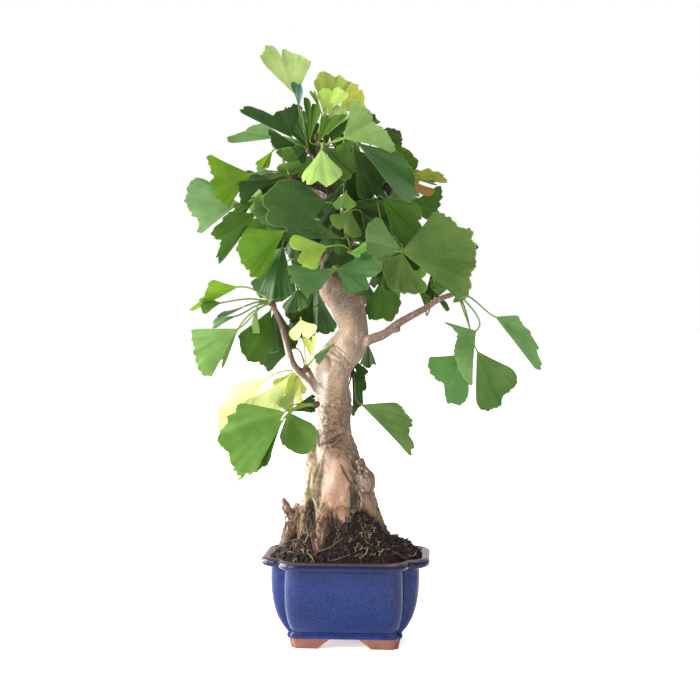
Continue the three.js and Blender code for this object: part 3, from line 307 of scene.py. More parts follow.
class Value:
    """A node's output. A sum on it adds a Math node."""

    def __init__(self, graph, socket):
        self.graph, self.socket = graph, socket

    def _math(self, operation, *terms):
        return self.graph.add("ShaderNodeMath", {"operation": operation}, dict(enumerate(terms)))

    def __add__(self, other):
        return self._math("ADD", self, other)

    def __sub__(self, other):
        return self._math("SUBTRACT", self, other)

    def __mul__(self, other):
        return self._math("MULTIPLY", self, other)

    def __radd__(self, other):
        return self._math("ADD", other, self)

    def __rsub__(self, other):
        return self._math("SUBTRACT", other, self)

    def fade(self, low, high):
        """0 below low, 1 above high and smooth between."""
        limits = {0: self, 1: low, 2: high, 3: 0.0, 4: 1.0}
        return self.graph.add("ShaderNodeMapRange", {"interpolation_type": "SMOOTHSTEP"}, limits)


class Graph:
    """A node tree, filled one call at a time."""

    def __init__(self, tree):
        self.tree = tree

    def add(self, kind, settings=None, inputs=None, output=0):
        """A new node with its settings and inputs; gives back one of its outputs."""
        node = self.tree.nodes.new(kind)
        for name, value in (settings or {}).items():
            setattr(node, name, value)
        for key, value in (inputs or {}).items():
            if isinstance(value, Value):
                self.tree.links.new(value.socket, node.inputs[key])
            else:
                node.inputs[key].default_value = value
        return Value(self, node.outputs[output])


class Finish(Graph):
    """A material with one Principled shader."""

    def __init__(self, name):
        self.material = bpy.data.materials.new(name)
        self.material.use_nodes = True
        super().__init__(self.material.node_tree)
        self.shader = self.tree.nodes["Principled BSDF"]
        self.place = self.add("ShaderNodeTexCoord", output="Object")

    def value(self, name, output="Fac"):
        """A value kept on the piece's points."""
        return self.add("ShaderNodeAttribute", {"attribute_name": name}, output=output)

    def split(self, vector):
        """A vector's three numbers."""
        parts = self.add("ShaderNodeSeparateXYZ", inputs={0: vector}).socket.node
        return [Value(self, socket) for socket in parts.outputs]

    def stretched(self, vector, x, y, z):
        """A vector with its numbers multiplied one by one."""
        return self.add("ShaderNodeVectorMath", {"operation": "MULTIPLY"}, {0: vector, 1: (x, y, z)})

    def noise(self, vector, scale, detail=3.0, roughness=0.5):
        settings = {"Vector": vector, "Scale": scale, "Detail": detail, "Roughness": roughness}
        return self.add("ShaderNodeTexNoise", inputs=settings)

    def mix(self, factor, first, second, blend="MIX"):
        """Two colours mixed; a colour is a triple or a Value."""
        first, second = [c if isinstance(c, Value) else (*c[:3], 1.0) for c in (first, second)]
        settings = {"data_type": "RGBA", "blend_type": blend}
        return self.add("ShaderNodeMix", settings, {0: factor, 6: first, 7: second}, output=2)

    def tinted(self, tint, red, green, blue):
        """A colour multiplied by three shares."""
        return self.mix(1.0, tint, (red, green, blue), "MULTIPLY")

    def bump(self, height, distance, strength=1.0):
        return self.add("ShaderNodeBump", inputs={"Height": height, "Distance": distance, "Strength": strength})

    def done(self, base, roughness, normal=None, **constants):
        """Links the shader, sets its other inputs, and gives back the material."""
        links = {"Base Color": base, "Roughness": roughness, "Normal": normal}
        for name, value in links.items():
            if isinstance(value, Value):
                self.tree.links.new(value.socket, self.shader.inputs[name])
            elif value is not None:
                self.shader.inputs[name].default_value = value
        for name, value in constants.items():
            self.shader.inputs[name.replace("_", " ").title().replace("Ior", "IOR")].default_value = value
        return self.material


# ---- The pot ----

RIM_HALF_WIDTH = 84
RIM_HALF_DEPTH = 69
FRONT_LOBE = 1.19  # how much further the front and back lobes stand out than those of the sides
LOBE_ARC = 0.9  # radius of a lobe's corners, as a share of how far it stands out
WALL = 7
FOOT_HEIGHT = 10
FLOOR_TOP = 17.5
WALL_TOP = 81
GAP = 0.3  # between solids that rest on each other
HOLLOW_LEVELS = (76, 60, 45, 32, 24, FLOOR_TOP + 1.5)
HOLLOW_LOBE = 0.9  # the lobes inside, as a share of those outside
ON_WALL, ON_LIP, IN_HOLLOW = 0.0, 1.0, 2.0  # parts of the pot, told apart by the glaze

# z, half width and lobe of the outside, from the foot to under the lip
WALL_ROWS = (
    (10, 54.9, 3), (10.5, 55.7, 3.1), (11.5, 56.6, 3.2), (12.8, 57.2, 3.4), (14, 57.3, 3.6),
    (15, 56.9, 3.8), (15.8, 56.6, 4.3), (16.8, 57.4, 5.4), (18, 58.7, 6.5), (22, 61.9, 7.9),
    (27, 65, 9.3), (32, 67.5, 10.5), (38, 69.7, 11.8), (46, 71.8, 13.1), (54, 73.1, 14),
    (62, 73.8, 14.6), (70, 74.1, 15.1), (76, 74.1, 15.4), (79.4, 74.3, 15.6),
)  # fmt: skip

# inset from the rim's half width, z and lobe, round the lip from under it to the inside
LIP_ROWS = (
    (8.6, 80.2, 16.2), (6.6, 80.7, 17.4), (4.2, 80.9, 18.7), (2.3, 81.4, 19.4), (0.9, 82.4, 19.7),
    (0.2, 83.8, 19.7), (0, 85.3, 19.7), (0.3, 86.8, 19.7), (1.1, 88.2, 19.6), (2.3, 89.2, 19.4),
    (3.9, 89.8, 19), (5.6, 90, 18.3), (7.4, 89.6, 17.3), (9, 88.6, 16.4), (10.3, 87.1, 15.5),
    (11.2, 85.2, 15), (12, 83, 14.5), (13.4, 80.5, 14),
)  # fmt: skip

FRONT_ARCH = (15, 26)  # half widths at its top and bottom
SIDE_ARCH = (11, 20)
FOOT_LOBE = 3
FOOT_OUTSIDE, FOOT_INSIDE, FOOT_FLARE = 53, 41, 0.22  # half widths on the ground, and growth with height
FOOT_LEVELS = (0, 3, 7, 11)
FOOT_BEVEL, FOOT_BEVEL_ANGLE = 0.0011, math.radians(42)
FLOOR_INSET = 2.5
DRAIN_SPACING = 62
DRAIN_RADIUS = 8
DRAIN_SIDES = 32
CREASE_ANGLE = math.radians(50)

# Heights at which the glaze changes, in metres, each from where a change begins to where it ends
POOLED = (0.012, 0.0175)
LIP_CREST = (0.0872, 0.0888)
MOULDING_FOOT = (0.0142, 0.0154)
MOULDING_TOP = (0.0157, 0.0169)
BARE_BELOW = 0.0104

RED_CLAY = (0.30, 0.16, 0.11)
NETTING = ((0.012, 0.013, 0.012), (0.03, 0.031, 0.028))  # its darkest and palest black


def pot_outline(half_width, lobe, detail=9):
    """The pot's outline as points round its axis: a lobe on each side, with notched corners."""
    half_depth = half_width - RIM_HALF_WIDTH + RIM_HALF_DEPTH
    inner_width, inner_depth = half_width - lobe, half_depth - lobe * FRONT_LOBE
    side_radius, front_radius = lobe * LOBE_ARC, lobe * LOBE_ARC * FRONT_LOBE

    def line(start, end, count):
        return [lerp(np.array(start), np.array(end), i / count) for i in range(count)]

    def arc(centre, radius):
        angles = np.linspace(0, np.pi / 2, detail + 1)
        return [np.array(centre) + radius * np.array((math.cos(a), math.sin(a))) for a in angles]

    notch = (inner_width, inner_depth)
    quarter = line((half_width, 0), (half_width, inner_depth - side_radius), detail)
    quarter += arc((half_width - side_radius, inner_depth - side_radius), side_radius)
    quarter += line((half_width - side_radius, inner_depth), notch, 4)[1:]
    quarter += line(notch, (inner_width, half_depth - front_radius), 4)
    quarter += arc((inner_width - front_radius, half_depth - front_radius), front_radius)
    quarter += line((inner_width - front_radius, half_depth), (0, half_depth), 2 * detail)[1:]
    quarter = np.array(quarter)
    top = np.array((0, half_depth))
    flip = quarter[1:][::-1] * (-1, 1)
    upper = np.vstack((quarter, top, flip))
    lower = np.vstack(((-half_width, 0), (quarter * (-1, -1))[1:], -top, (quarter[1:] * (1, -1))[::-1]))
    outline = np.vstack((upper, lower))
    for _ in range(3):
        outline = 0.5 * outline + 0.25 * (np.roll(outline, 1, 0) + np.roll(outline, -1, 0))
    return outline


def hollow_at(z):
    """Half width and lobe of the hollow inside the pot at a height."""
    heights, widths, lobes = np.array(WALL_ROWS).T
    return float(np.interp(z, heights, widths)) - WALL, float(np.interp(z, heights, lobes)) * HOLLOW_LOBE


def outline_bend(outline):
    """How far each point of an outline stands out of the line between its neighbours."""
    middle = 0.5 * (np.roll(outline, 3, 0) + np.roll(outline, -3, 0))
    outward = outline / np.linalg.norm(outline, axis=1, keepdims=True)
    return ((outline - middle) * outward).sum(1)


def with_height(outline, z):
    return np.column_stack((outline, np.full(len(outline), float(z))))


def pot_body():
    """The wall, lip and floor as one closed skin, how its outline bends and which part each point is on."""
    wall = spline([(z, 0, 0, width, lobe) for z, width, lobe in WALL_ROWS], 2)
    rows = [(z, width, lobe, ON_WALL) for z, _, _, width, lobe in wall]
    lip = spline([(z, inset, lobe) for inset, z, lobe in LIP_ROWS], 2)
    rows += [(z, RIM_HALF_WIDTH - inset, lobe, ON_LIP) for z, inset, lobe in lip]
    rows += [(z, *hollow_at(z), IN_HOLLOW) for z in HOLLOW_LEVELS]
    width, lobe = hollow_at(FLOOR_TOP)
    rows.append((FLOOR_TOP, width - FLOOR_INSET, lobe, IN_HOLLOW))
    rings, bends, parts = [], [], []
    for z, width, lobe, part in rows:
        outline = pot_outline(width, lobe)
        rings.append(with_height(outline, z))
        bends.append(outline_bend(outline) * (part < IN_HOLLOW))
        parts.append(np.full(len(outline), part))
    rings = np.array(rings)
    return rings.reshape(-1, 3), ring_faces(rings.shape[1], len(rings)), np.ravel(bends), np.ravel(parts)


def arch_cutter(reach, arch, turned_by):
    """A bar with sloping sides and round shoulders that cuts the arch between two feet."""
    top_half, bottom_half = arch
    slope = [(bottom_half + 3, -1.5), (bottom_half, 0)]
    for share in (0.25, 0.5, 0.75, 1):
        slope.append((lerp(bottom_half, top_half + 1.5, share), lerp(0, FOOT_HEIGHT - 1.6, share**0.8)))
    slope += [(top_half + 0.3, FOOT_HEIGHT - 0.5), (top_half - 1.6, FOOT_HEIGHT)]
    section = slope + [(-x, z) for x, z in reversed(slope)]
    ends = [[(x, y, z) for x, z in section] for y in (-reach, reach)]
    points = turned(np.array(ends[0] + ends[1]), turned_by)
    return points, ring_faces(len(section), 2)


def pot_feet():
    """The ring under the pot, a little wider towards its top, out of which the four feet are cut."""
    sides = ((FOOT_OUTSIDE, FOOT_LEVELS), (FOOT_INSIDE, FOOT_LEVELS[::-1]))
    rings = [with_height(pot_outline(width + FOOT_FLARE * z, FOOT_LOBE), z) for width, levels in sides for z in levels]
    return np.vstack(rings), ring_faces(len(rings[0]), len(rings), closed=True)


def facing_out(mesh):
    """A closed mesh with its faces turned outwards."""
    shell = bmesh.new()
    shell.from_mesh(mesh)
    bmesh.ops.recalc_face_normals(shell, faces=shell.faces)
    shell.to_mesh(mesh)
    shell.free()
    return mesh


def cut(mesh, *cutters):
    """A mesh with closed shapes cut out of it."""
    facing_out(mesh)
    helpers = [linked("cutter", facing_out(mesh_of("cutter", points, faces))) for points, faces in cutters]
    steps = [("BOOLEAN", {"operation": "DIFFERENCE", "solver": "EXACT", "object": h}) for h in helpers]
    made = applied(mesh, *steps)
    for helper in helpers:
        bpy.data.objects.remove(helper)
    return made


def drain_cutter(side):
    """A rod that cuts a drain hole through the floor; side is -1 on the left and 1 on the right."""
    angles = 2 * np.pi * np.arange(DRAIN_SIDES) / DRAIN_SIDES
    circle = np.column_stack((np.cos(angles), np.sin(angles))) * DRAIN_RADIUS + (side * DRAIN_SPACING / 2, 0)
    return np.vstack((with_height(circle, 2), with_height(circle, FLOOR_TOP + 4))), ring_faces(DRAIN_SIDES, 2)


def joined(name, *meshes):
    """Meshes put together in one, with their points' values."""
    made = bpy.data.meshes.new(name)
    together = bmesh.new()
    for mesh in meshes:
        together.from_mesh(mesh)
    together.to_mesh(made)
    together.free()
    return made


def glaze_material(settings):
    finish = Finish("glazed_stoneware")
    place = finish.place
    _, _, height = finish.split(place)
    bend, part = finish.value("bend"), finish.value("part")
    soft = finish.noise(place, 40, 2)
    fine = finish.noise(place, 1250, 2, 0.7)
    specks = finish.noise(place, 780, 1, 0.4)
    glaze = finish.mix(soft.fade(0.25, 0.75) * 0.6, settings.glaze, settings.deep_glaze)
    glaze = finish.mix(fine.fade(0.5, 0.62) * 0.75, glaze, settings.bright_glaze)
    glaze = finish.mix(specks.fade(0.62, 0.72) * 0.3, glaze, settings.bright_glaze)
    pool = finish.noise(finish.stretched(place, 1, 1, 0.4), 120, 2)
    glaze = finish.mix((1 - height.fade(*POOLED)) * pool.fade(0.42, 0.62), glaze, settings.pool)
    lip = part.fade(0.2, 0.8) * (1 - part.fade(1.2, 1.8))
    glaze = finish.mix(lip * 0.7, glaze, settings.lip_glaze)
    ragged = finish.noise(place, 240, 3)
    # Partly painted shade: the lip's crest gets the brown of thin glaze, which also stands for the shade between the
    # soil and the lip.
    crest = lip * height.fade(*LIP_CREST)
    edges = crest * 0.9 + bend.fade(0.3, 0.8) * 0.34 + bend.fade(-0.5, -1.4) * 0.42
    edges = edges + (1 - height.fade(*MOULDING_TOP)) * height.fade(*MOULDING_FOOT) * 0.4
    thin = (edges + ragged * 0.55 - 0.28).fade(0.22, 0.85)
    glaze = finish.mix(thin * 0.9, glaze, settings.thin_glaze)
    bare_edge = (finish.noise(place, 90, 2) - 0.5) * 0.0012 + BARE_BELOW
    bare = 1 - ((height - bare_edge) * PER_METRE).fade(-0.25, 0.25)
    grain = finish.noise(place, 900, 3, 0.6)
    clay = finish.mix(grain.fade(0.3, 0.7), settings.clay, dimmed(settings.clay, 0.72))
    clay = finish.mix(finish.noise(place, 60, 2).fade(0.45, 0.75) * 0.4, clay, RED_CLAY)
    base = finish.mix(bare, glaze, clay)
    ripple = finish.noise(place, 150, 2) * 0.7 + fine * 0.1
    relief = finish.bump(ripple * (1 - bare) + grain * bare * 0.6, 0.0006, 0.4)
    return finish.done(base, 0.12 + bare * 0.7 + fine * 0.04, relief, ior=1.25)


def netting_material():
    finish = Finish("plastic_netting")
    grain = finish.noise(finish.place, 400, 2)
    base = finish.mix(grain, *NETTING)
    return finish.done(base, 0.5 + grain * 0.2, finish.bump(grain, 0.0002, 0.3))


def build_pot(settings):
    points, faces, bends, parts = pot_body()
    body = mesh_of("glazed_pot", points, faces, {"bend": bends, "part": parts})
    body = cut(body, drain_cutter(-1), drain_cutter(1))
    ring, ring_sides = pot_feet()
    cutters = (
        arch_cutter(2 * RIM_HALF_DEPTH, FRONT_ARCH, 0),
        arch_cutter(2 * RIM_HALF_WIDTH, SIDE_ARCH, math.pi / 2),
    )
    feet = cut(mesh_of("feet", ring, ring_sides), *cutters)
    bevel = {"width": FOOT_BEVEL, "segments": 3, "limit_method": "ANGLE", "angle_limit": FOOT_BEVEL_ANGLE}
    feet = applied(feet, ("BEVEL", bevel))
    mesh = joined("glazed_pot", body, feet)
    smooth_faces(mesh)
    mesh.set_sharp_from_angle(angle=CREASE_ANGLE)
    piece_of("glazed_pot", mesh, glaze_material(settings), "glaze", "pot")


def build_screens():
    netting = netting_material()
    for side in ("left", "right"):
        for slot in bpy.data.objects[f"drain_screen_{side}"].material_slots:
            slot.material = netting


# ---- Trunk, roots, branches and twigs ----

# Rows of x, z, y and radius on the elevation.
LIMBS = {
    "trunk": [(-11, 49, 4, 30), (-12, 97, 2, 38), (-13, 122, 0, 37), (-11, 142, 0, 34),
        (-11, 162, 0, 30.5), (-13, 182, 0, 27), (-15, 202, 0, 20.5), (-14.5, 222, 0, 17.5),
        (-13.5, 242, 0, 16.5), (-14.5, 262, 0, 17), (-12, 280, -1, 19), (1, 296, -2, 17.5),
        (7.5, 312, -2, 15), (3, 327, -1, 15.8), (-4, 342, 0, 16.2), (-15, 355, 1, 13.5),
        (-18, 371, 2, 9), (-13, 393, 3, 7), (-10, 411, 4, 6.2), (-15, 441, 3, 5.4), (-22, 469, 1, 4.6),
        (-27, 489, -4, 3.6)],
    "right_root": [(3, 179, -8, 14), (14, 151, -10, 12), (26, 125, -12, 9.5), (37, 102, -14, 7),
        (45, 78, -16, 4)],
    "front_root": [(-9, 197, -6, 13), (-9, 171, -14, 17), (-9, 145, -20, 17.5), (-8, 130, -18, 13),
        (-6, 112, -12, 10)],
    "left_mass": [(-35, 201, -4, 6), (-33, 179, -10, 10), (-33, 151, -14, 13), (-37, 125, -18, 11),
        (-43, 97, -22, 7)],
    "left_root": [(-31, 141, -6, 10), (-44, 132, -12, 9.5), (-54, 117, -14, 7.5), (-61, 102, -16, 6),
        (-63, 78, -18, 4)],
    "knee_left": [(-20, 128, -24, 8), (-26, 108, -36, 8), (-30, 88, -42, 5)],
    "knee_right": [(-3, 132, -24, 8), (-3, 116, -33, 7), (-2, 98, -38, 4)],
    "back_root_left": [(-23, 151, 16, 16), (-33, 119, 30, 11), (-41, 86, 37, 6)],
    "back_root_right": [(-1, 151, 18, 16), (12, 117, 31, 11), (19, 84, 38, 6)],
    "burl": [(5, 171, -12, 8), (18, 165, -20, 9), (20, 152, -19, 6.5)],
    "burl_stub": [(13, 159, -20, 5), (17, 158, -30, 4.4)],
    "root_stub": [(-57, 125, -18, 4), (-60, 135, -21, 3), (-64, 144, -23, 2.6)],
    "shoulder": [(-15, 273, -6, 9), (-25, 281, -12, 9.5), (-31, 289, -12, 5.5)],
    "knob": [(1, 342, 0, 9), (14, 342, -3, 5.5), (18, 342.5, -4, 4)],
    "left_branch": [(-19, 251, -8, 6.5), (-29, 254, -14, 5.4), (-41, 266, -18, 4.4),
        (-53, 277, -22, 3.8), (-62, 306, -26, 3.1), (-68, 324, -28, 2.8), (-74, 337, -29, 2.6)],
    "left_spur_twig": [(-32, 257, -15, 3.4), (-39, 274, -24, 2.6)],
    "right_branch": [(9, 297, -6, 6.5), (22, 303, -10, 5.2), (37, 308.5, -14, 4.6), (52, 320, -18, 3.9),
        (77, 334, -23, 3.2), (93, 344, -26, 2.8), (107, 349, -29, 2.6)],
    "right_stub": [(43, 312, -16, 3.4), (53, 313.5, -20, 2.2)],
    "apex_twig": [(-25, 479, -2, 3.6), (-36, 489, -5, 2.6)],
    "top_twig": [(-26, 485, -4, 3.4), (-23, 492, -17, 2.6)],
    "crest_twig": [(-26, 485, -3, 3.4), (-29, 503, -12, 2.6)],
    "upper_left_twig": [(-17, 451, 2, 4), (-39, 459, -12, 3), (-54, 464, -20, 2.4)],
    "far_left_twig": [(-15, 437, 3, 4), (-41, 443, -4, 3), (-59, 446, -9, 2.4)],
    "mid_left_twig": [(-11, 399, 3, 4), (-35, 403, -8, 3), (-52, 406, -16, 2.4)],
    "heart_twig": [(-11, 415, 3, 4.4), (-7, 423, -14, 3.4), (-4, 427, -27, 2.6)],
    "centre_twig": [(-12, 397, 2, 4.4), (-3, 395, -18, 3.4), (4, 392, -31, 2.6)],
    "low_centre_twig": [(-16, 375, 0, 4.4), (-12, 375, -16, 3.4), (-9.5, 374, -27, 2.6)],
    "upper_right_twig": [(-20, 461, 1, 4), (-1, 475, -8, 3), (13, 481, -16, 2.4)],
    "shoulder_twig": [(-14, 435, 3, 4), (15, 447, -4, 3), (43, 455, -11, 2.4)],
    "autumn_twig": [(20, 448, -5, 3), (38, 462, -15, 2.8), (50, 463, -20, 2.4)],
    "mid_right_twig": [(-12, 391, 3, 4.4), (13, 395, -14, 3.2), (36, 398, -31, 2.6)],
    "right_back_twig": [(-11, 405, 5, 4.4), (33, 403, 12, 3.6), (73, 393, 14, 3), (100, 381, 11, 2.4)],
    "back_top_twig": [(-26, 483, -2, 3.4), (-21, 491, 20, 2.4)],
    "back_left_twig": [(-16, 443, 3, 4), (-33, 449, 20, 3), (-46, 451, 30, 2.4)],
    "back_right_twig": [(-16, 447, 3, 4), (1, 453, 22, 3), (19, 457, 31, 2.4)],
    "back_middle_twig": [(-11, 405, 5, 4.4), (-11, 409, 24, 3.2), (-10, 411, 35, 2.4)],
    "back_low_left_twig": [(-17, 379, 3, 4.4), (-35, 383, 18, 3), (-46, 384, 28, 2.4)],
    "back_low_right_twig": [(-16, 373, 3, 4.4), (7, 379, 18, 3.2), (26, 382, 30, 2.4)],
    "under_twig": [(-13, 376, 3, 4.4), (-2, 374, 8, 3.2), (5, 372.5, 11, 2.4)],
    "hollow_twig": [(-17, 374, 3, 4.4), (-22, 370, 9, 3.2)],
    "behind_twig": [(-11, 267, 10, 5), (3, 269, 17, 3.4)],
}

# Lines on the bark: points of x and z on the elevation, half width, and depth, which is below 0 for a ridge.
BARK_LINES = (
    (((-23, 209), (-16, 212), (-7, 214)), 1.1, 1.3),
    (((-19, 202), (-11, 206), (-3, 209)), 1.2, 1.5),
    (((-27, 198), (-14, 201), (-10, 205)), 1.3, 1.6),
    (((-21, 217), (-12, 219), (-6, 223)), 0.9, 0.9),
    (((-14, 196), (-8, 201), (-4, 205)), 1, 1.2),
    (((-26, 225), (-18, 224), (-12, 228)), 0.8, 0.7),
    (((-9, 226), (-3, 231), (2, 232)), 0.8, 0.7),
    (((-24, 234), (-15, 237), (-7, 236)), 0.7, 0.5),
    (((-30, 212), (-29, 204), (-27, 196)), 1.3, 1.8),
    (((-34, 189), (-24, 193), (-12, 194), (-3, 191)), 1.7, -1.2),
    (((-23, 182), (-25, 170), (-27, 158), (-28, 146), (-28, 134)), 3.2, 1.3),
    (((-27, 178), (-31, 169), (-33, 160)), 1.3, 1.6),
    (((-36, 172), (-38, 160), (-38, 148)), 1.1, 1.2),
    (((-6, 178), (-3, 172), (1, 165), (5, 158)), 1.3, 2.0),
    (((5, 160), (5.5, 148), (5, 134)), 1.8, 3),
    (((2, 186), (8, 176), (12, 168)), 1.2, 1.6),
    (((10, 182), (14, 176), (19, 172)), 1.1, -1.2),
    (((-26, 131), (-20, 133), (-14, 130)), 0.8, 0.6),
    (((-14, 130), (-9, 134), (-3, 136), (4, 132)), 0.8, 0.8),
    (((-15, 128), (-13, 118), (-12, 106)), 5, 3.5),
    (((-36, 140), (-36, 124), (-34, 106)), 4, 6),
    (((-8, 196), (-6, 190), (-10, 184)), 1, 1),
    (((-22, 293), (-13, 290), (-7, 286)), 0.9, 0.9),
    (((-12, 294), (-6, 289), (0, 283), (3, 278)), 0.9, 1.0),
    (((-19, 286), (-11, 283), (-5, 279)), 0.8, 0.8),
    (((-14, 299), (-8, 296), (-3, 291)), 0.8, 0.7),
    (((-4, 279), (-1, 272), (-2, 263)), 0.8, 0.7),
    (((1, 270), (-1, 262), (0, 252)), 0.8, 0.6),
    (((-20, 318), (-8, 315), (4, 318)), 0.9, 0.35),
    (((-14, 334), (-2, 332), (8, 335)), 0.9, 0.35),
    (((8, 181), (11, 174), (9, 167)), 1.1, 1.6),
    (((20, 176), (16, 171), (19, 164)), 1.2, 1.6),
    (((9, 160), (14, 155), (20, 152)), 1.2, 1.8),
)  # fmt: skip

# Places on the wood that differ in colour, some of them painted highlight or painted shade: x, z, how far they reach,
# the tint and how strong it is.
BARK_MARKS = (
    (-9, 160, 15, 24, (140, 108, 90), 0.75),
    (-18, 168, 7, 20, (196, 172, 158), 0.6),
    (-14, 140, 12, 10, (149, 112, 92), 0.5),
    (-12, 178, 12, 8, (158, 133, 117), 0.6),
    (-12, 205, 15, 13, (115, 93, 76), 0.6),
    (-28, 206, 3.5, 10, (70, 49, 38), 0.8),
    # The next two marks are painted highlight: pale where the key light falls on the left side of the root mass and of
    # the trunk.
    (-33, 166, 8, 22, (176, 158, 130), 0.75),
    (-25, 258, 5, 22, (222, 212, 200), 0.7),
    (-39, 148, 5, 6, (118, 118, 66), 0.65),
    (14, 166, 9, 7, (95, 77, 68), 0.6),
    (17, 158, 4.4, 4.4, (140, 122, 116), 0.8),
    (8, 143, 5, 14, (42, 29, 26), 0.85),
    (11, 157, 2.5, 3, (88, 101, 49), 0.7),
    (9, 130, 3, 6, (74, 84, 46), 0.5),
    (-11, 132, 13, 4, (92, 58, 42), 0.7),
    (-22, 122, 4, 8, (104, 64, 45), 0.7),
    (-1, 121, 6, 9, (136, 106, 84), 0.7),
    # The next three marks are painted shade: near black in the hollows beside and between the knees.
    (-13, 113, 7, 13, (48, 32, 28), 0.88),
    (-36, 124, 6, 20, (20, 14, 15), 0.97),
    (-41, 112, 4, 14, (30, 21, 20), 0.8),
    (-29, 112, 4, 15, (140, 106, 80), 0.8),
    (-51, 110, 6, 13, (150, 124, 98), 0.75),
    (-48, 128, 7, 9, (128, 102, 74), 0.7),
    (-52, 134, 6, 4, (84, 52, 44), 0.7),
    (-61, 140, 6, 7, (88, 55, 48), 0.9),
    (28, 120, 9, 20, (112, 93, 71), 0.5),
    (20, 113, 7, 10, (66, 52, 43), 0.6),
    (-4, 345, 16, 9, (98, 84, 73), 0.75),
    (-16, 355, 12, 9, (96, 80, 70), 0.75),
    (16, 342, 6, 5, (101, 85, 73), 0.6),
    (-24, 282, 9, 9, (155, 139, 126), 0.5),
    (-30, 268, 6, 8, (118, 100, 85), 0.5),
)  # fmt: skip

# Thin roots that hang on the wood: their rows, as a limb's, and their tint
FIBRES = (
    (((-35, 146, -26, 1), (-31, 136, -31, 0.8), (-30, 126, -30, 0.6)), (150, 140, 116)),
    (((11.5, 152, -26, 0.9), (14.5, 143, -30, 0.8), (14, 134, -28, 0.6)), (146, 122, 106)),
    (((-57, 126, -20, 1.4), (-63, 131, -27, 1), (-66, 136, -26, 0.5)), (84, 56, 42)),
)

# Zones of the bark: x, z and how far they reach
SMOOTH_BUTTRESS = (-9, 158, 13, 26)
CRAGGY_BURL = (15, 166, 12, 13)
CRACKED_NECK = (-14, 230, 22, 34)
SHADED_BUTTRESS = (-9, 158, 15, 32)

# Heights between which something sets in or dies out, in the order that fade takes them
ROUGH = (262, 238)
RINGED = (250, 285)
STROKED, STROKED_TO = (318, 340), (376, 362)
ROUGH_TINT = (268, 230)
LEADER_TINT = (358, 374)
TWIGS_TINT_TO = (390, 365)
LIT_FROM, LIT_TO = (110, 170), (318, 284)
SOILED = (132, 106)
SMOOTHED = (260, 180)

VOXEL = 1.15
LIMB_STEP = 2.5
THICK_LIMB = 8  # a limb thicker than this somewhere has more sides
THICK_SIDES, THIN_SIDES, FIBRE_SIDES = 28, 14, 6
EYE_WAY = turned((0.0, -1.0, 0.03), TREE_TURN)
LEFT_WAY = turned((-1.0, 0.0, 0.0), TREE_TURN)


def swelling(angle, distance, radius):
    """How a limb swells and shrinks round its line: three and five faint ribs that wind about it."""
    share = np.minimum(0.07, radius / 300)
    return 1 + share * (np.sin(3 * angle + distance / 17) + 0.6 * np.sin(5 * angle - distance / 9))


def limb_line(rows):
    """A limb's line and its radii, from its rows on the elevation."""
    placed = [(*place(x, z, y), radius) for x, z, y, radius in rows]
    length = sum(np.linalg.norm(np.subtract(a, b)[:3]) for a, b in zip(placed, placed[1:]))
    line = spline(placed, max(3, round(length / (len(rows) - 1) / LIMB_STEP)))
    return line[:, :3], line[:, 3]


def trunk_shape():
    """All limbs as closed tubes, and their lines and radii."""
    shape = Shape()
    lines = [limb_line(rows) for rows in LIMBS.values()]
    for centres, radii in lines:
        shape.add(*tube(centres, radii, THICK_SIDES if radii.max() > THICK_LIMB else THIN_SIDES, swelling))
    return shape, lines


def smoothed(points, edges, weight, rounds):
    """Points drawn towards their neighbours and pushed back, so that they don't shrink."""
    count = len(points)
    first, second = edges.T
    degree = np.maximum(np.bincount(edges.ravel(), minlength=count), 1)[:, None]
    for step in range(2 * rounds):
        columns = points.T
        sums = [np.bincount(first, c[second], count) + np.bincount(second, c[first], count) for c in columns]
        pull = 0.55 if step % 2 == 0 else -0.5
        points = points + pull * weight[:, None] * (np.stack(sums, 1) / degree - points)
    return points


def nearest_girth(points, lines):
    """For each point, the radius of the limb that it is on."""
    girth, best = np.zeros(len(points)), np.full(len(points), 1e9)
    for centres, radii in lines:
        for centre, radius in zip(centres[::2], radii[::2]):
            near = np.linalg.norm(points - centre, axis=1) / radius - 0.02 * radius
            girth = np.where(near < best, radius, girth)
            best = np.minimum(near, best)
    return girth


def line_share(x, z, points, half_width):
    """1 on a line of the elevation, falling to 0 at twice its half width, and thinner at its ends."""
    share = np.zeros(len(x))
    for number, ((x0, z0), (x1, z1)) in enumerate(zip(points, points[1:])):
        step_x, step_z = x1 - x0, z1 - z0
        along = np.clip(((x - x0) * step_x + (z - z0) * step_z) / (step_x**2 + step_z**2), 0, 1)
        away = np.hypot(x - lerp(x0, x1, along), z - lerp(z0, z1, along))
        at = (number + along) / (len(points) - 1)
        width = half_width * (0.45 + 0.55 * np.sin(np.pi * np.clip(at, 0.08, 0.92)))
        share = np.maximum(share, np.exp(-((away / width) ** 2)))
    return share


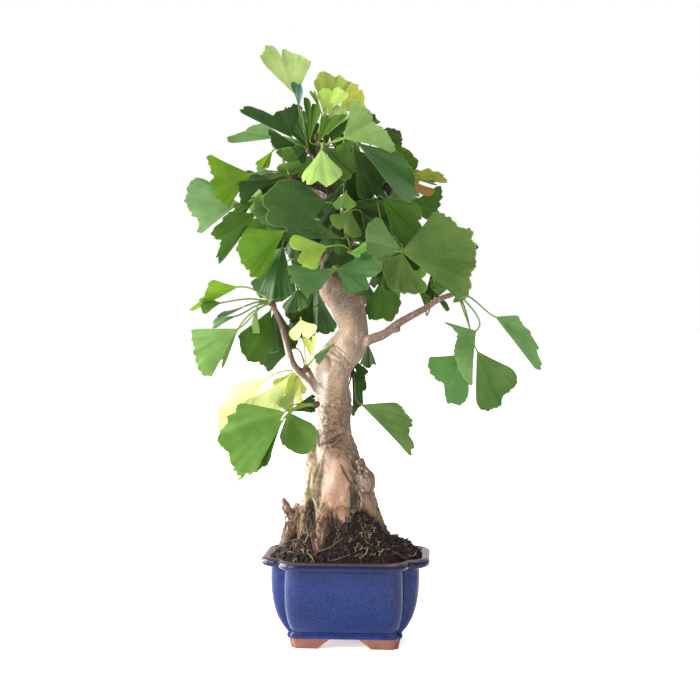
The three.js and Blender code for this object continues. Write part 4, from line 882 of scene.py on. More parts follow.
def bark_relief(points, normals, girth):
    """How far the bark stands out at each point, and how deep in a crack it is."""
    x, z, _ = elevation(points)
    front = fade(normals @ EYE_WAY, 0.0, 0.35)
    thick = fade(girth, 6, 15)
    rough = fade(z, *ROUGH) * fade(girth, 6, 14) * (1 - 0.85 * front * mark_share(x, z, *SMOOTH_BUTTRESS))
    wander = noise_on(points, (14, 14, 14), 9.0)
    ridges = 1 - 2 * np.abs(noise_on(points, (6, 6, 4.4), 3.0))
    flutes = noise_on(points, (9, 9, 46), 5.0)
    grain = noise_on(points, (2.6, 2.6, 3.4), 7.0)
    out = thick * (1.1 * wander + 0.8 * flutes) + rough * (0.75 * ridges + 0.45 * grain)
    crag = mark_share(x, z, *CRAGGY_BURL) * front
    out += crag * (2.6 * noise_on(points, (3.0, 3.0, 3.0), 14.0) + 1.5 * grain)
    out += 0.12 * grain * (1 - rough) + (1 - thick) * 0.22 * noise_on(points, (3, 3, 6), 2.0)
    rings = np.sin(z / 2.1 + 2.2 * noise_on(points, (16, 16, 10), 4.0)) * fade(z, *RINGED) * thick
    out += 0.2 * rings * fade(noise_on(points, (18, 18, 8), 6.0), -0.1, 0.4)
    depth = np.clip(-ridges, 0, 1) * rough * 0.8
    right, back, up = points.T
    slant = np.column_stack((right * 0.8 + up * 0.6, back, up * 0.8 - right * 0.6))
    strokes = fade(noise_on(slant, (7, 7, 1.5), 17.0), 0.0, 0.4) * fade(z, *STROKED) * thick * fade(z, *STROKED_TO)
    out -= 0.35 * strokes
    depth = np.maximum(depth, strokes * 0.5)
    fissures = fade(noise_on(points, (5, 5, 1.4), 18.0), 0.04, 0.3) * mark_share(x, z, *CRACKED_NECK) * front
    out -= 0.4 * fissures
    depth = np.maximum(depth, fissures * 0.7)
    depth = np.maximum(depth, crag * fade(noise_on(points, (3.6, 3.6, 3.6), 14.0), 0.05, -0.35))
    bent = x + 0.8 * noise_on(points, 5.0, 11.0), z + 0.8 * noise_on(points, 5.0, 12.0)
    for line, half_width, deep in BARK_LINES:
        share = line_share(*bent, line, half_width) * front
        out -= share * deep
        depth = np.maximum(depth, share * fade(deep, 0, 1.6)) if deep > 0 else depth
    return out, depth


def mark_share(x, z, mark_x, mark_z, reach_x, reach_z):
    """1 in the middle of a mark on the elevation, falling to 0 beyond its reach."""
    return np.exp(-((((x - mark_x) / reach_x) ** 2 + ((z - mark_z) / reach_z) ** 2) ** 1.4))


def bark_tints(points, normals, girth, depth, settings):
    """The wood's colour at each point, with painted highlight on the sides that face the key light, painted shade on
    the sides away from it, and painted shade in cracks, hollows and high in the crown.
    """
    x, z, _ = elevation(points)
    front = fade(normals @ EYE_WAY, -0.1, 0.4)[:, None]
    blotch = noise_on(points, (11, 11, 16), 21.0)[:, None]
    tint = np.tile(settings.upper_bark, (len(points), 1))
    tint = lerp(tint, np.array(settings.rough_bark), fade(z, *ROUGH_TINT)[:, None])
    # Painted shade: the leader high in the crown, where the leaves shade it, turns dark reddish brown.
    tint = lerp(tint, np.array(settings.leader_in_shade), fade(z, *LEADER_TINT)[:, None])
    thin = fade(girth, 9, 4.5)[:, None] * fade(z, *TWIGS_TINT_TO)[:, None]
    tint = lerp(tint, np.array(settings.twig_bark), thin * 0.9)
    tint = tint * (1 + 0.14 * blotch)
    # Painted highlight: the bark turns pale on the sides that face the key light on the left, between the heights
    # LIT_FROM and LIT_TO, less so on the front of the buttress.
    side = (normals @ LEFT_WAY)[:, None]
    lit = fade(z, *LIT_FROM) * fade(z, *LIT_TO) * (1 - 0.9 * mark_share(x, z, *SHADED_BUTTRESS))
    tint = lerp(tint, np.array(settings.painted_light_bark), fade(side, 0.15, 0.8) * lit[:, None] * 0.85)
    # Painted shade: the bark darkens on the sides that face away from the key light on the left.
    tint = tint * (1 - 0.36 * fade(side, 0.15, -0.75))
    for mark_x, mark_z, reach_x, reach_z, shade, strength in BARK_MARKS:
        share = mark_share(x, z, mark_x, mark_z, reach_x, reach_z)[:, None] * front
        tint = lerp(tint, np.array(colour(*shade)), share * strength)
    soiled = fade(z + 9 * blotch[:, 0] + 5 * noise_on(points, 4.0, 31.0), *SOILED)[:, None]
    tint = lerp(tint, np.array(settings.soil_stain), soiled * 0.75)
    # Painted shade: darker at the bottom of cracks and grooves, the deeper the darker.
    tint = lerp(tint, np.array(settings.crack), np.clip(depth, 0, 1)[:, None] * 0.72)
    return np.column_stack((tint, np.ones(len(tint))))


def bark_material(settings):
    finish = Finish("bark")
    place = finish.place
    tint = finish.value("tint", "Color")
    depth = finish.value("depth")
    girth = finish.value("girth")
    fine = finish.noise(place, 900, 4, 0.6)
    speck = finish.noise(place, 380, 3, 0.6)
    streak = finish.noise(finish.stretched(place, 1, 1, 0.22), 420, 4, 0.6)
    warm = finish.mix(0.5, tint, (1.0, 0.93, 0.84), "MULTIPLY")
    dull = finish.mix(0.8, tint, (0.62, 0.52, 0.44), "MULTIPLY")
    base = finish.mix(speck.fade(0.35, 0.72) * 0.55, warm, dull)
    base = finish.mix(fine.fade(0.56, 0.78) * 0.45, base, finish.tinted(tint, 0.42, 0.33, 0.27))
    base = finish.mix(streak.fade(0.52, 0.74) * 0.35, base, finish.mix(0.35, tint, (1.0, 0.97, 0.92)))
    height = fine * 0.4 + speck * 0.7 + streak * 0.5 * girth.fade(3, 10)
    relief = finish.bump(height, 0.0009, settings.grain)
    return finish.done(base, 0.78 + speck * 0.12 - depth * 0.05, relief, ior=1.4)


def build_trunk(settings):
    shape, lines = trunk_shape()
    remesh = {"mode": "VOXEL", "voxel_size": VOXEL / PER_METRE, "use_smooth_shade": True}
    mesh = applied(shape.mesh("trunk_wood"), ("REMESH", remesh))
    points = points_of(mesh)
    girth = nearest_girth(points, lines)
    edges = edges_of(mesh)
    points = smoothed(points, edges, fade(girth, 1.5, 9) * 0.6 + 0.4, 4)
    low = fade(points[:, 2], *SMOOTHED) * fade(girth, 5, 9)
    points = smoothed(points, edges, low, 6)
    move_points(mesh, points)
    normals = normals_of(mesh)
    out, depth = bark_relief(points, normals, girth)
    points = points + normals * out[:, None]
    points = smoothed(points, edges, np.full(len(points), 0.35), 1)
    move_points(mesh, points)
    set_values(mesh, "depth", depth)
    set_values(mesh, "girth", girth)
    set_values(mesh, "tint", bark_tints(points, normals_of(mesh), girth, depth, settings))
    fibres = Shape()
    for rows, shade in FIBRES:
        tube_points, faces = tube(*limb_line(rows), FIBRE_SIDES)
        count = len(tube_points)
        tint = np.tile((*colour(*shade), 1.0), (count, 1))
        fibres.add(tube_points, faces, depth=np.zeros(count), girth=np.ones(count), tint=tint)
    whole = joined("trunk_wood", mesh, fibres.mesh("fibres"))
    smooth_faces(whole)
    piece_of("trunk_wood", whole, bark_material(settings), "bark", "trunk")


# ---- Soil and what lies on it ----

SOIL_EDGE = 85.2  # height at the wall
MOUND_HEIGHT = 32
MOUND_LEVEL = 27.2  # the mound is cut flat here
SOIL_INSET = 11.4
SOIL_LOBE = 15
SOIL_DETAIL = 12
SURFACE_RINGS = 62
BURIED_RINGS = ((FLOOR_TOP + GAP, 3), (32, 0.5), (60, 0.5), (74, 0.5), (81, -2.6))  # z and inset

# Heaps, mostly against the roots: x, y, reach and height
HEAPS = (
    (10, -31, 14, 23), (27, -23, 15, 17), (52, -8, 14, 3), (67, 0, 12, 9), (-3, -40, 12, 13), (-19, -46, 11, 5),
    (-36, -36, 12, 12), (-54, -14, 17, 8), (-44, 8, 16, 6), (10, 26, 20, 2),
)  # fmt: skip

# Twigs and roots on the soil, through pixels of a 700 by 700 view: the line, radius, tint and rise.
LITTER = (
    (((309.6, 556.8), (320, 551.5), (331, 547.3), (342.8, 537.8)), 0.54, (93, 74, 55), 0.8),
    (((328.5, 561), (340, 558), (350, 554.4), (355.8, 552)), 0.40, (97, 81, 61), 0.6),
    (((307, 553), (311, 557.5), (314.3, 562.8)), 0.40, (129, 131, 73), 1.2),
    (((360.6, 558), (364, 555), (368.9, 548.5), (366.5, 543)), 0.40, (157, 149, 138), 1.2),
    (((408, 555), (413, 555.5), (416, 552.5), (417, 549.5)), 0.58, (134, 102, 88), 0.9),
    (((265, 546), (275, 543), (286, 542), (298, 538)), 0.43, (90, 70, 50), 0.8),
    (((276, 556), (288, 550), (296, 545)), 0.36, (82, 61, 43), 0.6),
    (((316, 556), (313, 546), (312, 534), (314, 522)), 0.43, (96, 82, 61), 1.5),
    (((330, 531), (337, 527), (343, 524)), 0.36, (102, 90, 58), 1),
    (((346, 541), (352, 540), (358, 536), (361, 530)), 0.36, (85, 67, 50), 0.9),
    (((372, 528), (374, 522), (377, 518)), 0.36, (114, 97, 76), 1),
    (((383, 552), (390, 555), (395, 559)), 0.36, (96, 64, 47), 0.6),
    (((398, 556), (405, 558), (412, 557)), 0.43, (100, 65, 50), 0.6),
    (((352, 559), (356, 556), (360, 553)), 0.36, (122, 97, 70), 0.8),
    (((286, 536), (291, 541), (294, 548)), 0.36, (73, 55, 40), 0.8),
    (((339, 549), (349, 545), (357, 545)), 0.32, (70, 56, 46), 0.7),
)  # fmt: skip

# Seedlings and sprouts: the pixel they stand at, height, lean to the right, tint
SPROUTS = (
    (304, 553, 3.2, -0.5, (131, 136, 77)), (306.5, 552.5, 2.5, 0.8, (120, 128, 72)),
    (378.4, 545, 3, 0.2, (108, 123, 74)), (379.6, 555, 3.4, 0.1, (91, 127, 63)),
    (382, 552, 2.4, 0.5, (100, 126, 72)), (355.8, 551, 3.4, -0.1, (106, 105, 60)),
    (357, 546, 2.5, 0.4, (115, 113, 70)), (294, 562, 2.4, 0.3, (91, 111, 70)),
    (297, 561, 2.2, -0.4, (101, 117, 75)), (369, 538, 3.4, 0.25, (148, 139, 123)),
    (362, 536, 3, -0.2, (131, 124, 106)), (360, 560, 2.4, 0.2, (88, 104, 67)),
    (397.5, 538, 6.2, 0.15, (70, 82, 51)), (391, 541, 5, 0.2, (43, 36, 33)),
    (394, 542, 6.5, -0.2, (40, 33, 32)), (411, 546, 5, 0.1, (46, 40, 37)),
    (420, 546, 4, -0.2, (44, 37, 35)), (404, 545, 3.5, 0.4, (49, 42, 37)),
    (374, 531, 3, 0.1, (138, 126, 103)), (350, 521, 4, 0.1, (86, 99, 64)),
    (353.5, 515, 4, -0.1, (96, 109, 75)), (354, 509, 3, 0.2, (81, 97, 65)),
    (309, 492, 3, -0.3, (130, 130, 81)), (312, 495, 3.2, 0.3, (138, 136, 87)),
    (306, 496, 2.6, -0.5, (125, 121, 86)), (283, 519, 3.2, -0.6, (121, 125, 81)),
    (281, 509, 3, -0.8, (124, 125, 78)), (286, 524, 2.6, 0.2, (112, 114, 79)),
)  # fmt: skip


# Tints of the loose bits on the soil, and of the roots that hang at the trunk's foot
ROOTLET_SHADES = (
    (16, 11, 13), (28, 18, 17), (50, 33, 26), (72, 50, 38), (34, 24, 24), (126, 100, 74), (20, 14, 16),
    (66, 42, 33), (100, 76, 58), (150, 126, 96),
)  # fmt: skip
# The darkest of these also stand in for painted shade in the hollows that the roots hang over.
HANGING_SHADES = (
    (60, 42, 31), (38, 26, 22), (22, 15, 15), (124, 100, 72), (86, 66, 48), (46, 31, 25), (116, 112, 64), (28, 19, 18),
)  # fmt: skip

# Hanging roots: the pixel across, both limits down, how far they spread and how many there are
HANGING_GROUPS = (
    (308, 502, 545, 9, 40), (297, 508, 544, 8, 30), (318, 514, 545, 7, 10), (334, 512, 546, 10, 34),
    (345, 514, 532, 6, 8), (357, 492, 520, 4, 8), (366, 510, 534, 8, 16), (285, 512, 540, 6, 14),
)  # fmt: skip

ROOTLETS_BELOW = 142
CLEAR_OF_SOIL = 150
STEEP = 0.25  # of a normal's height, under which nothing stays lying
LONGEST_HOP, SHORTEST_HOP = 11, 0.3  # between the places of a hanging root, which else jumps between limbs
LITTER_SEED, ROOTLET_SEED, HANGING_SEED = 11, 4, 5


def soil_height(x, y, share):
    """Height of the ground at a place and its share of the way out from the axis."""
    rise = np.minimum(MOUND_HEIGHT * (1 - share) ** 0.65, MOUND_LEVEL)
    inner = np.minimum(1, (1 - share) / 0.2)
    height = SOIL_EDGE + rise
    for heap_x, heap_y, reach, tall in HEAPS:
        height = height + tall * np.exp(-((x - heap_x) ** 2 + (y - heap_y) ** 2) / reach**2) * inner
    return height


def soil_body():
    """The mound and the soil under it as one closed skin, and 1 on its surface."""
    edge = pot_outline(RIM_HALF_WIDTH - SOIL_INSET, SOIL_LOBE, SOIL_DETAIL)
    rings = []
    for z, inset in BURIED_RINGS:
        width, lobe = hollow_at(z)
        rings.append(with_height(pot_outline(width - inset, lobe, SOIL_DETAIL), z))
    for share in 1 - np.linspace(0, 1, SURFACE_RINGS) ** 0.92 * 0.97:
        x, y = (edge * share).T
        rings.append(np.column_stack((x, y, soil_height(x, y, share))))
    rings = np.array(rings)
    points = rings.reshape(-1, 3)
    surface = np.repeat([0.0] * len(BURIED_RINGS) + [1.0] * SURFACE_RINGS, rings.shape[1])
    clods = 1.7 * noise_on(points, (7.5, 7.5, 20), 1.0) + 1.2 * noise_on(points, (3.4, 3.4, 9), 2.0)
    clods += 1.5 * np.abs(noise_on(points, (1.9, 1.9, 5), 3.0))
    points[:, 2] += surface * (clods - 0.6)
    return points, ring_faces(rings.shape[1], len(rings)), surface


def sight(pixel):
    """The line from the eye through a pixel, round the pot's axis."""
    across, down = pixel[0] - IMAGE_SIZE / 2, pixel[1] - IMAGE_SIZE / 2
    pitch = math.atan2(EYE_HEIGHT - EYE_AIM, EYE_DISTANCE)
    ahead = np.array((0, math.cos(pitch), -math.sin(pitch)))
    upward = np.array((0, math.sin(pitch), math.cos(pitch)))
    way = ahead * FOCAL_LENGTH + np.array((across, 0, 0)) - upward * down
    eye = turned((EYE_X, -EYE_DISTANCE, EYE_HEIGHT), TREE_TURN)
    return Vector(eye), Vector(unit(turned(way, TREE_TURN)))


def carrier(*pieces):
    """A tree of the pieces' faces, for finding what lies under a point of the view."""
    points, faces = [], []
    for piece in pieces:
        first = len(points)
        points += points_of(piece.data).tolist()
        faces += [[i + first for i in polygon.vertices] for polygon in piece.data.polygons]
    return BVHTree.FromPolygons(points, faces)


def seen_at(ground, pixel):
    """Where a pixel's line meets the ground, or the nearest place on the ground to it."""
    eye, way = sight(pixel)
    hit, normal, _, _ = ground.ray_cast(eye, way)
    if hit is None:
        hit, normal, _, _ = ground.find_nearest(eye + way * EYE_DISTANCE)
    return np.array(hit), np.array(normal)


def litter(shape, ground):
    """The named twigs and sprouts, laid on whatever carries them."""
    draw = random.Random(LITTER_SEED)
    for line, radius, shade, rise in LITTER:
        rows = []
        for number, pixel in enumerate(line):
            spot, normal = seen_at(ground, pixel)
            ends = number in (0, len(line) - 1)
            lift, thickness = (0.2, 0.6) if ends else (1.0, 1.0)
            rows.append((*(spot + normal * (rise * lift)), radius * thickness))
        strand(shape, spline(rows, 5), 5, shade, draw)
    right = turned((1.0, 0.0, 0.0), TREE_TURN)
    toward = turned((0.0, -1.0, 0.0), TREE_TURN)
    for across, down, tall, lean, shade in SPROUTS:
        spot, _ = seen_at(ground, (across, down))
        tip = spot + UP * tall + right * lean * tall + toward * draw.uniform(0.2, 0.6) * tall
        bend = lerp(spot, tip, 0.5) + UP * 0.15 * tall
        rows = [(*(spot - UP * 1.2), 0.45), (*bend, 0.4), (*tip, 0.15)]
        strand(shape, spline(rows, 4), 4, shade, draw)
        for side in (-1, 1):
            middle = tip + right * side * 0.32 * tall + UP * 0.1 * tall
            end = tip + right * side * 0.6 * tall + UP * 0.28 * tall
            strand(shape, np.array([(*tip, 0.15), (*middle, 0.55), (*end, 0.1)]), 4, shade, draw)


def strand(shape, line, sides, shade, draw, spread=0.12):
    """Adds a tube along rows of a place and a radius, in its own shade of a tint."""
    points, faces = tube(line[:, :3], line[:, 3], sides)
    tone = 1 + draw.uniform(-spread, spread)
    tint = (*dimmed(colour(*shade), tone), 1.0)
    shape.add(points, faces, tint=np.tile(tint, (len(points), 1)))


def fine_roots(shape, ground, count):
    """Short rootlets, needles and flakes lying all over the soil and the feet of the roots."""
    draw = random.Random(ROOTLET_SEED)
    width, lobe = hollow_at(WALL_TOP - 2)
    edge = pot_outline(width, lobe)
    for _ in range(count):
        x, y = edge[draw.randrange(len(edge))] * math.sqrt(draw.random()) * 0.97
        hit, normal, _, _ = ground.ray_cast(Vector((x, y, CLEAR_OF_SOIL)), Vector((0, 0, -1)))
        if hit is None or normal.z < STEEP or hit.z > ROOTLETS_BELOW:
            continue
        hit, normal = np.array(hit), np.array(normal)
        way = draw.uniform(0, 2 * math.pi)
        flat = unit(np.cross(normal, (math.cos(way), math.sin(way), 0.2)))
        across = np.cross(normal, flat)
        length = draw.uniform(3, 15) * draw.uniform(0.35, 1)
        bow = draw.uniform(-0.35, 0.35) * length
        lift = draw.uniform(0.4, 1.6) + (draw.random() < 0.14) * draw.uniform(1, 4)
        radius = draw.uniform(0.16, 0.5)
        start = hit - normal * 0.5
        middle = hit + flat * length * 0.5 + across * bow + normal * lift
        end = hit + flat * length + normal * lift * draw.uniform(0, 1.1)
        line = spline([(*start, radius), (*middle, radius), (*end, radius * 0.4)], 3)
        shade = ROOTLET_SHADES[draw.randrange(len(ROOTLET_SHADES))]
        strand(shape, line, 3, shade, draw, 0.25)


def hanging_roots(shape, ground):
    """Fibrous roots that hang over the hollows at the trunk's foot."""
    draw = random.Random(HANGING_SEED)
    for middle, top, bottom, spread, number in HANGING_GROUPS:
        for _ in range(number):
            across = middle + draw.gauss(0, spread / 2)
            start = draw.uniform(top, bottom - 6)
            length = draw.uniform(5, 15)
            sway = draw.uniform(-8, 8)
            radius = draw.uniform(0.18, 0.5)
            rows = []
            for share in (0, 0.33, 0.67, 1):
                pixel = (across + sway * share + draw.uniform(-1, 1), min(start + length * share, bottom + 4))
                spot, normal = seen_at(ground, pixel)
                lift = 0.1 + 1.3 * math.sin(math.pi * share)
                rows.append((*(spot + normal * lift), radius * (1 - 0.5 * share)))
            hops = [np.linalg.norm(np.subtract(a, b)[:3]) for a, b in zip(rows, rows[1:])]
            if max(hops) > LONGEST_HOP or min(hops) < SHORTEST_HOP:
                continue
            shade = HANGING_SHADES[draw.randrange(len(HANGING_SHADES))]
            strand(shape, spline(rows, 3), 4, shade, draw, 0.2)


# The crumbs' named inputs and their defaults, and the seeds and limits of what is drawn for each crumb
CRUMB_INPUTS = {"Crumbs per square metre": 90000.0, "Smallest": 0.0004, "Largest": 0.0017}
STREWING_SEED = 3
CRUMB_SEEDS = (7, 8, 9)
CRUMB_PROPORTIONS = ((0.6, 0.6, 0.45), (2.0, 1.0, 0.9))
FULL_TURN = 6.28


def crumb_tree(material):
    """A node tree that strews crumbs on a mesh where its value of open air is 1."""
    tree = bpy.data.node_groups.new("soil_crumbs", "GeometryNodeTree")
    tree.interface.new_socket("Geometry", in_out="INPUT", socket_type="NodeSocketGeometry")
    for name, default in CRUMB_INPUTS.items():
        tree.interface.new_socket(name, in_out="INPUT", socket_type="NodeSocketFloat").default_value = default
    tree.interface.new_socket("Geometry", in_out="OUTPUT", socket_type="NodeSocketGeometry")
    graph = Graph(tree)
    entry = graph.add("NodeGroupInput").socket.node
    inputs = {name: Value(graph, entry.outputs[name]) for name in ("Geometry", *CRUMB_INPUTS)}
    air = graph.add("GeometryNodeInputNamedAttribute", {"data_type": "FLOAT"}, {"Name": "open_air"})
    density = inputs["Crumbs per square metre"] * air
    source = {"Mesh": inputs["Geometry"], "Density": density, "Seed": STREWING_SEED}
    points = graph.add("GeometryNodeDistributePointsOnFaces", inputs=source)
    crumb = graph.add("GeometryNodeMeshIcoSphere", inputs={"Radius": 1.0, "Subdivisions": 1})
    across = drawn_value(graph, "FLOAT", inputs["Smallest"], inputs["Largest"], CRUMB_SEEDS[0])
    flat = drawn_value(graph, "FLOAT_VECTOR", *CRUMB_PROPORTIONS, CRUMB_SEEDS[1])
    turn = drawn_value(graph, "FLOAT_VECTOR", (0.0,) * 3, (FULL_TURN,) * 3, CRUMB_SEEDS[2])
    scale = graph.add("ShaderNodeVectorMath", {"operation": "SCALE"}, {0: flat, "Scale": across})
    each = {"Points": points, "Instance": crumb, "Rotation": turn, "Scale": scale}
    placed = graph.add("GeometryNodeInstanceOnPoints", inputs=each)
    loose = graph.add("GeometryNodeRealizeInstances", inputs={"Geometry": placed})
    both = graph.add("GeometryNodeJoinGeometry", inputs={0: loose})
    tree.links.new(inputs["Geometry"].socket, both.socket.node.inputs[0])
    real = graph.add("GeometryNodeRealizeInstances", inputs={"Geometry": both})
    dressed = graph.add("GeometryNodeSetMaterial", inputs={"Geometry": real, "Material": material})
    tree.links.new(dressed.socket, tree.nodes.new("NodeGroupOutput").inputs["Geometry"])
    return tree


def drawn_value(graph, kind, low, high, seed):
    """A Random Value node's output. Its sockets share their names, so the ones in use are found first."""
    output = {"FLOAT_VECTOR": 0, "FLOAT": 1}[kind]
    value = graph.add("FunctionNodeRandomValue", {"data_type": kind}, output=output)
    used = {socket.name: socket for socket in value.socket.node.inputs if socket.enabled}
    for name, wanted in (("Min", low), ("Max", high), ("Seed", seed)):
        if isinstance(wanted, Value):
            graph.tree.links.new(wanted.socket, used[name])
        else:
            used[name].default_value = wanted
    return value


def strewn(mesh, tree, values):
    """A mesh after a node tree, whose inputs are given by name."""
    helper = linked("strewn", mesh)
    modifier = helper.modifiers.new("Crumbs", "NODES")
    modifier.node_group = tree
    for item in tree.interface.items_tree:
        if item.in_out == "INPUT" and item.name in values:
            modifier[item.identifier] = values[item.name]
    return made_real(helper)


BARK_BIT = (0.16, 0.085, 0.045)


def soil_material(settings):
    finish = Finish("peaty_soil")
    place = finish.place
    coarse = finish.noise(place, 210, 3, 0.65)
    crumbs = finish.noise(place, 520, 4, 0.65)
    bark_bits = finish.noise(finish.stretched(place, 1, 0.35, 1), 300, 2)
    base = finish.mix(crumbs.fade(0.4, 0.66), settings.dark_soil, settings.soil)
    base = finish.mix(coarse.fade(0.5, 0.64) * 0.7, base, settings.warm_soil)
    base = finish.mix(coarse.fade(0.48, 0.36) * 0.8, base, settings.dark_soil)
    base = finish.mix(bark_bits.fade(0.66, 0.74) * 0.55, base, BARK_BIT)
    relief = finish.bump(crumbs + coarse * 0.8, 0.0022, 1.0)
    return finish.done(base, 0.82 + crumbs * 0.14, relief, ior=1.35)


def litter_material():
    finish = Finish("roots_and_sprouts")
    tint = finish.value("tint", "Color")
    speck = finish.noise(finish.place, 700, 2)
    base = finish.mix(speck.fade(0.35, 0.7) * 0.5, tint, finish.tinted(tint, 0.5, 0.42, 0.36))
    return finish.done(base, 0.72 + speck * 0.1, finish.bump(speck, 0.0003, 0.5), ior=1.4)


def build_soil(settings):
    trunk = bpy.data.objects.get("trunk_wood")
    if trunk is None:
        raise RuntimeError("the trunk is built before the soil that is heaped against it")
    points, faces, surface = soil_body()
    mesh = mesh_of("mounded_soil", points, faces, {"open_air": surface})
    earth = soil_material(settings)
    amounts = settings.crumb_density, settings.smallest_crumb, settings.largest_crumb
    mesh = strewn(mesh, crumb_tree(earth), dict(zip(CRUMB_INPUTS, amounts)))
    piece = piece_of("mounded_soil", mesh, earth, "soil", "soil")
    ground = carrier(piece, trunk)
    shape = Shape()
    litter(shape, ground)
    fine_roots(shape, ground, settings.rootlets)
    hanging_roots(shape, ground)
    piece_of("roots_and_sprouts", shape.mesh("roots_and_sprouts"), litter_material(), "soil", "soil")


# ---- Leaves ----

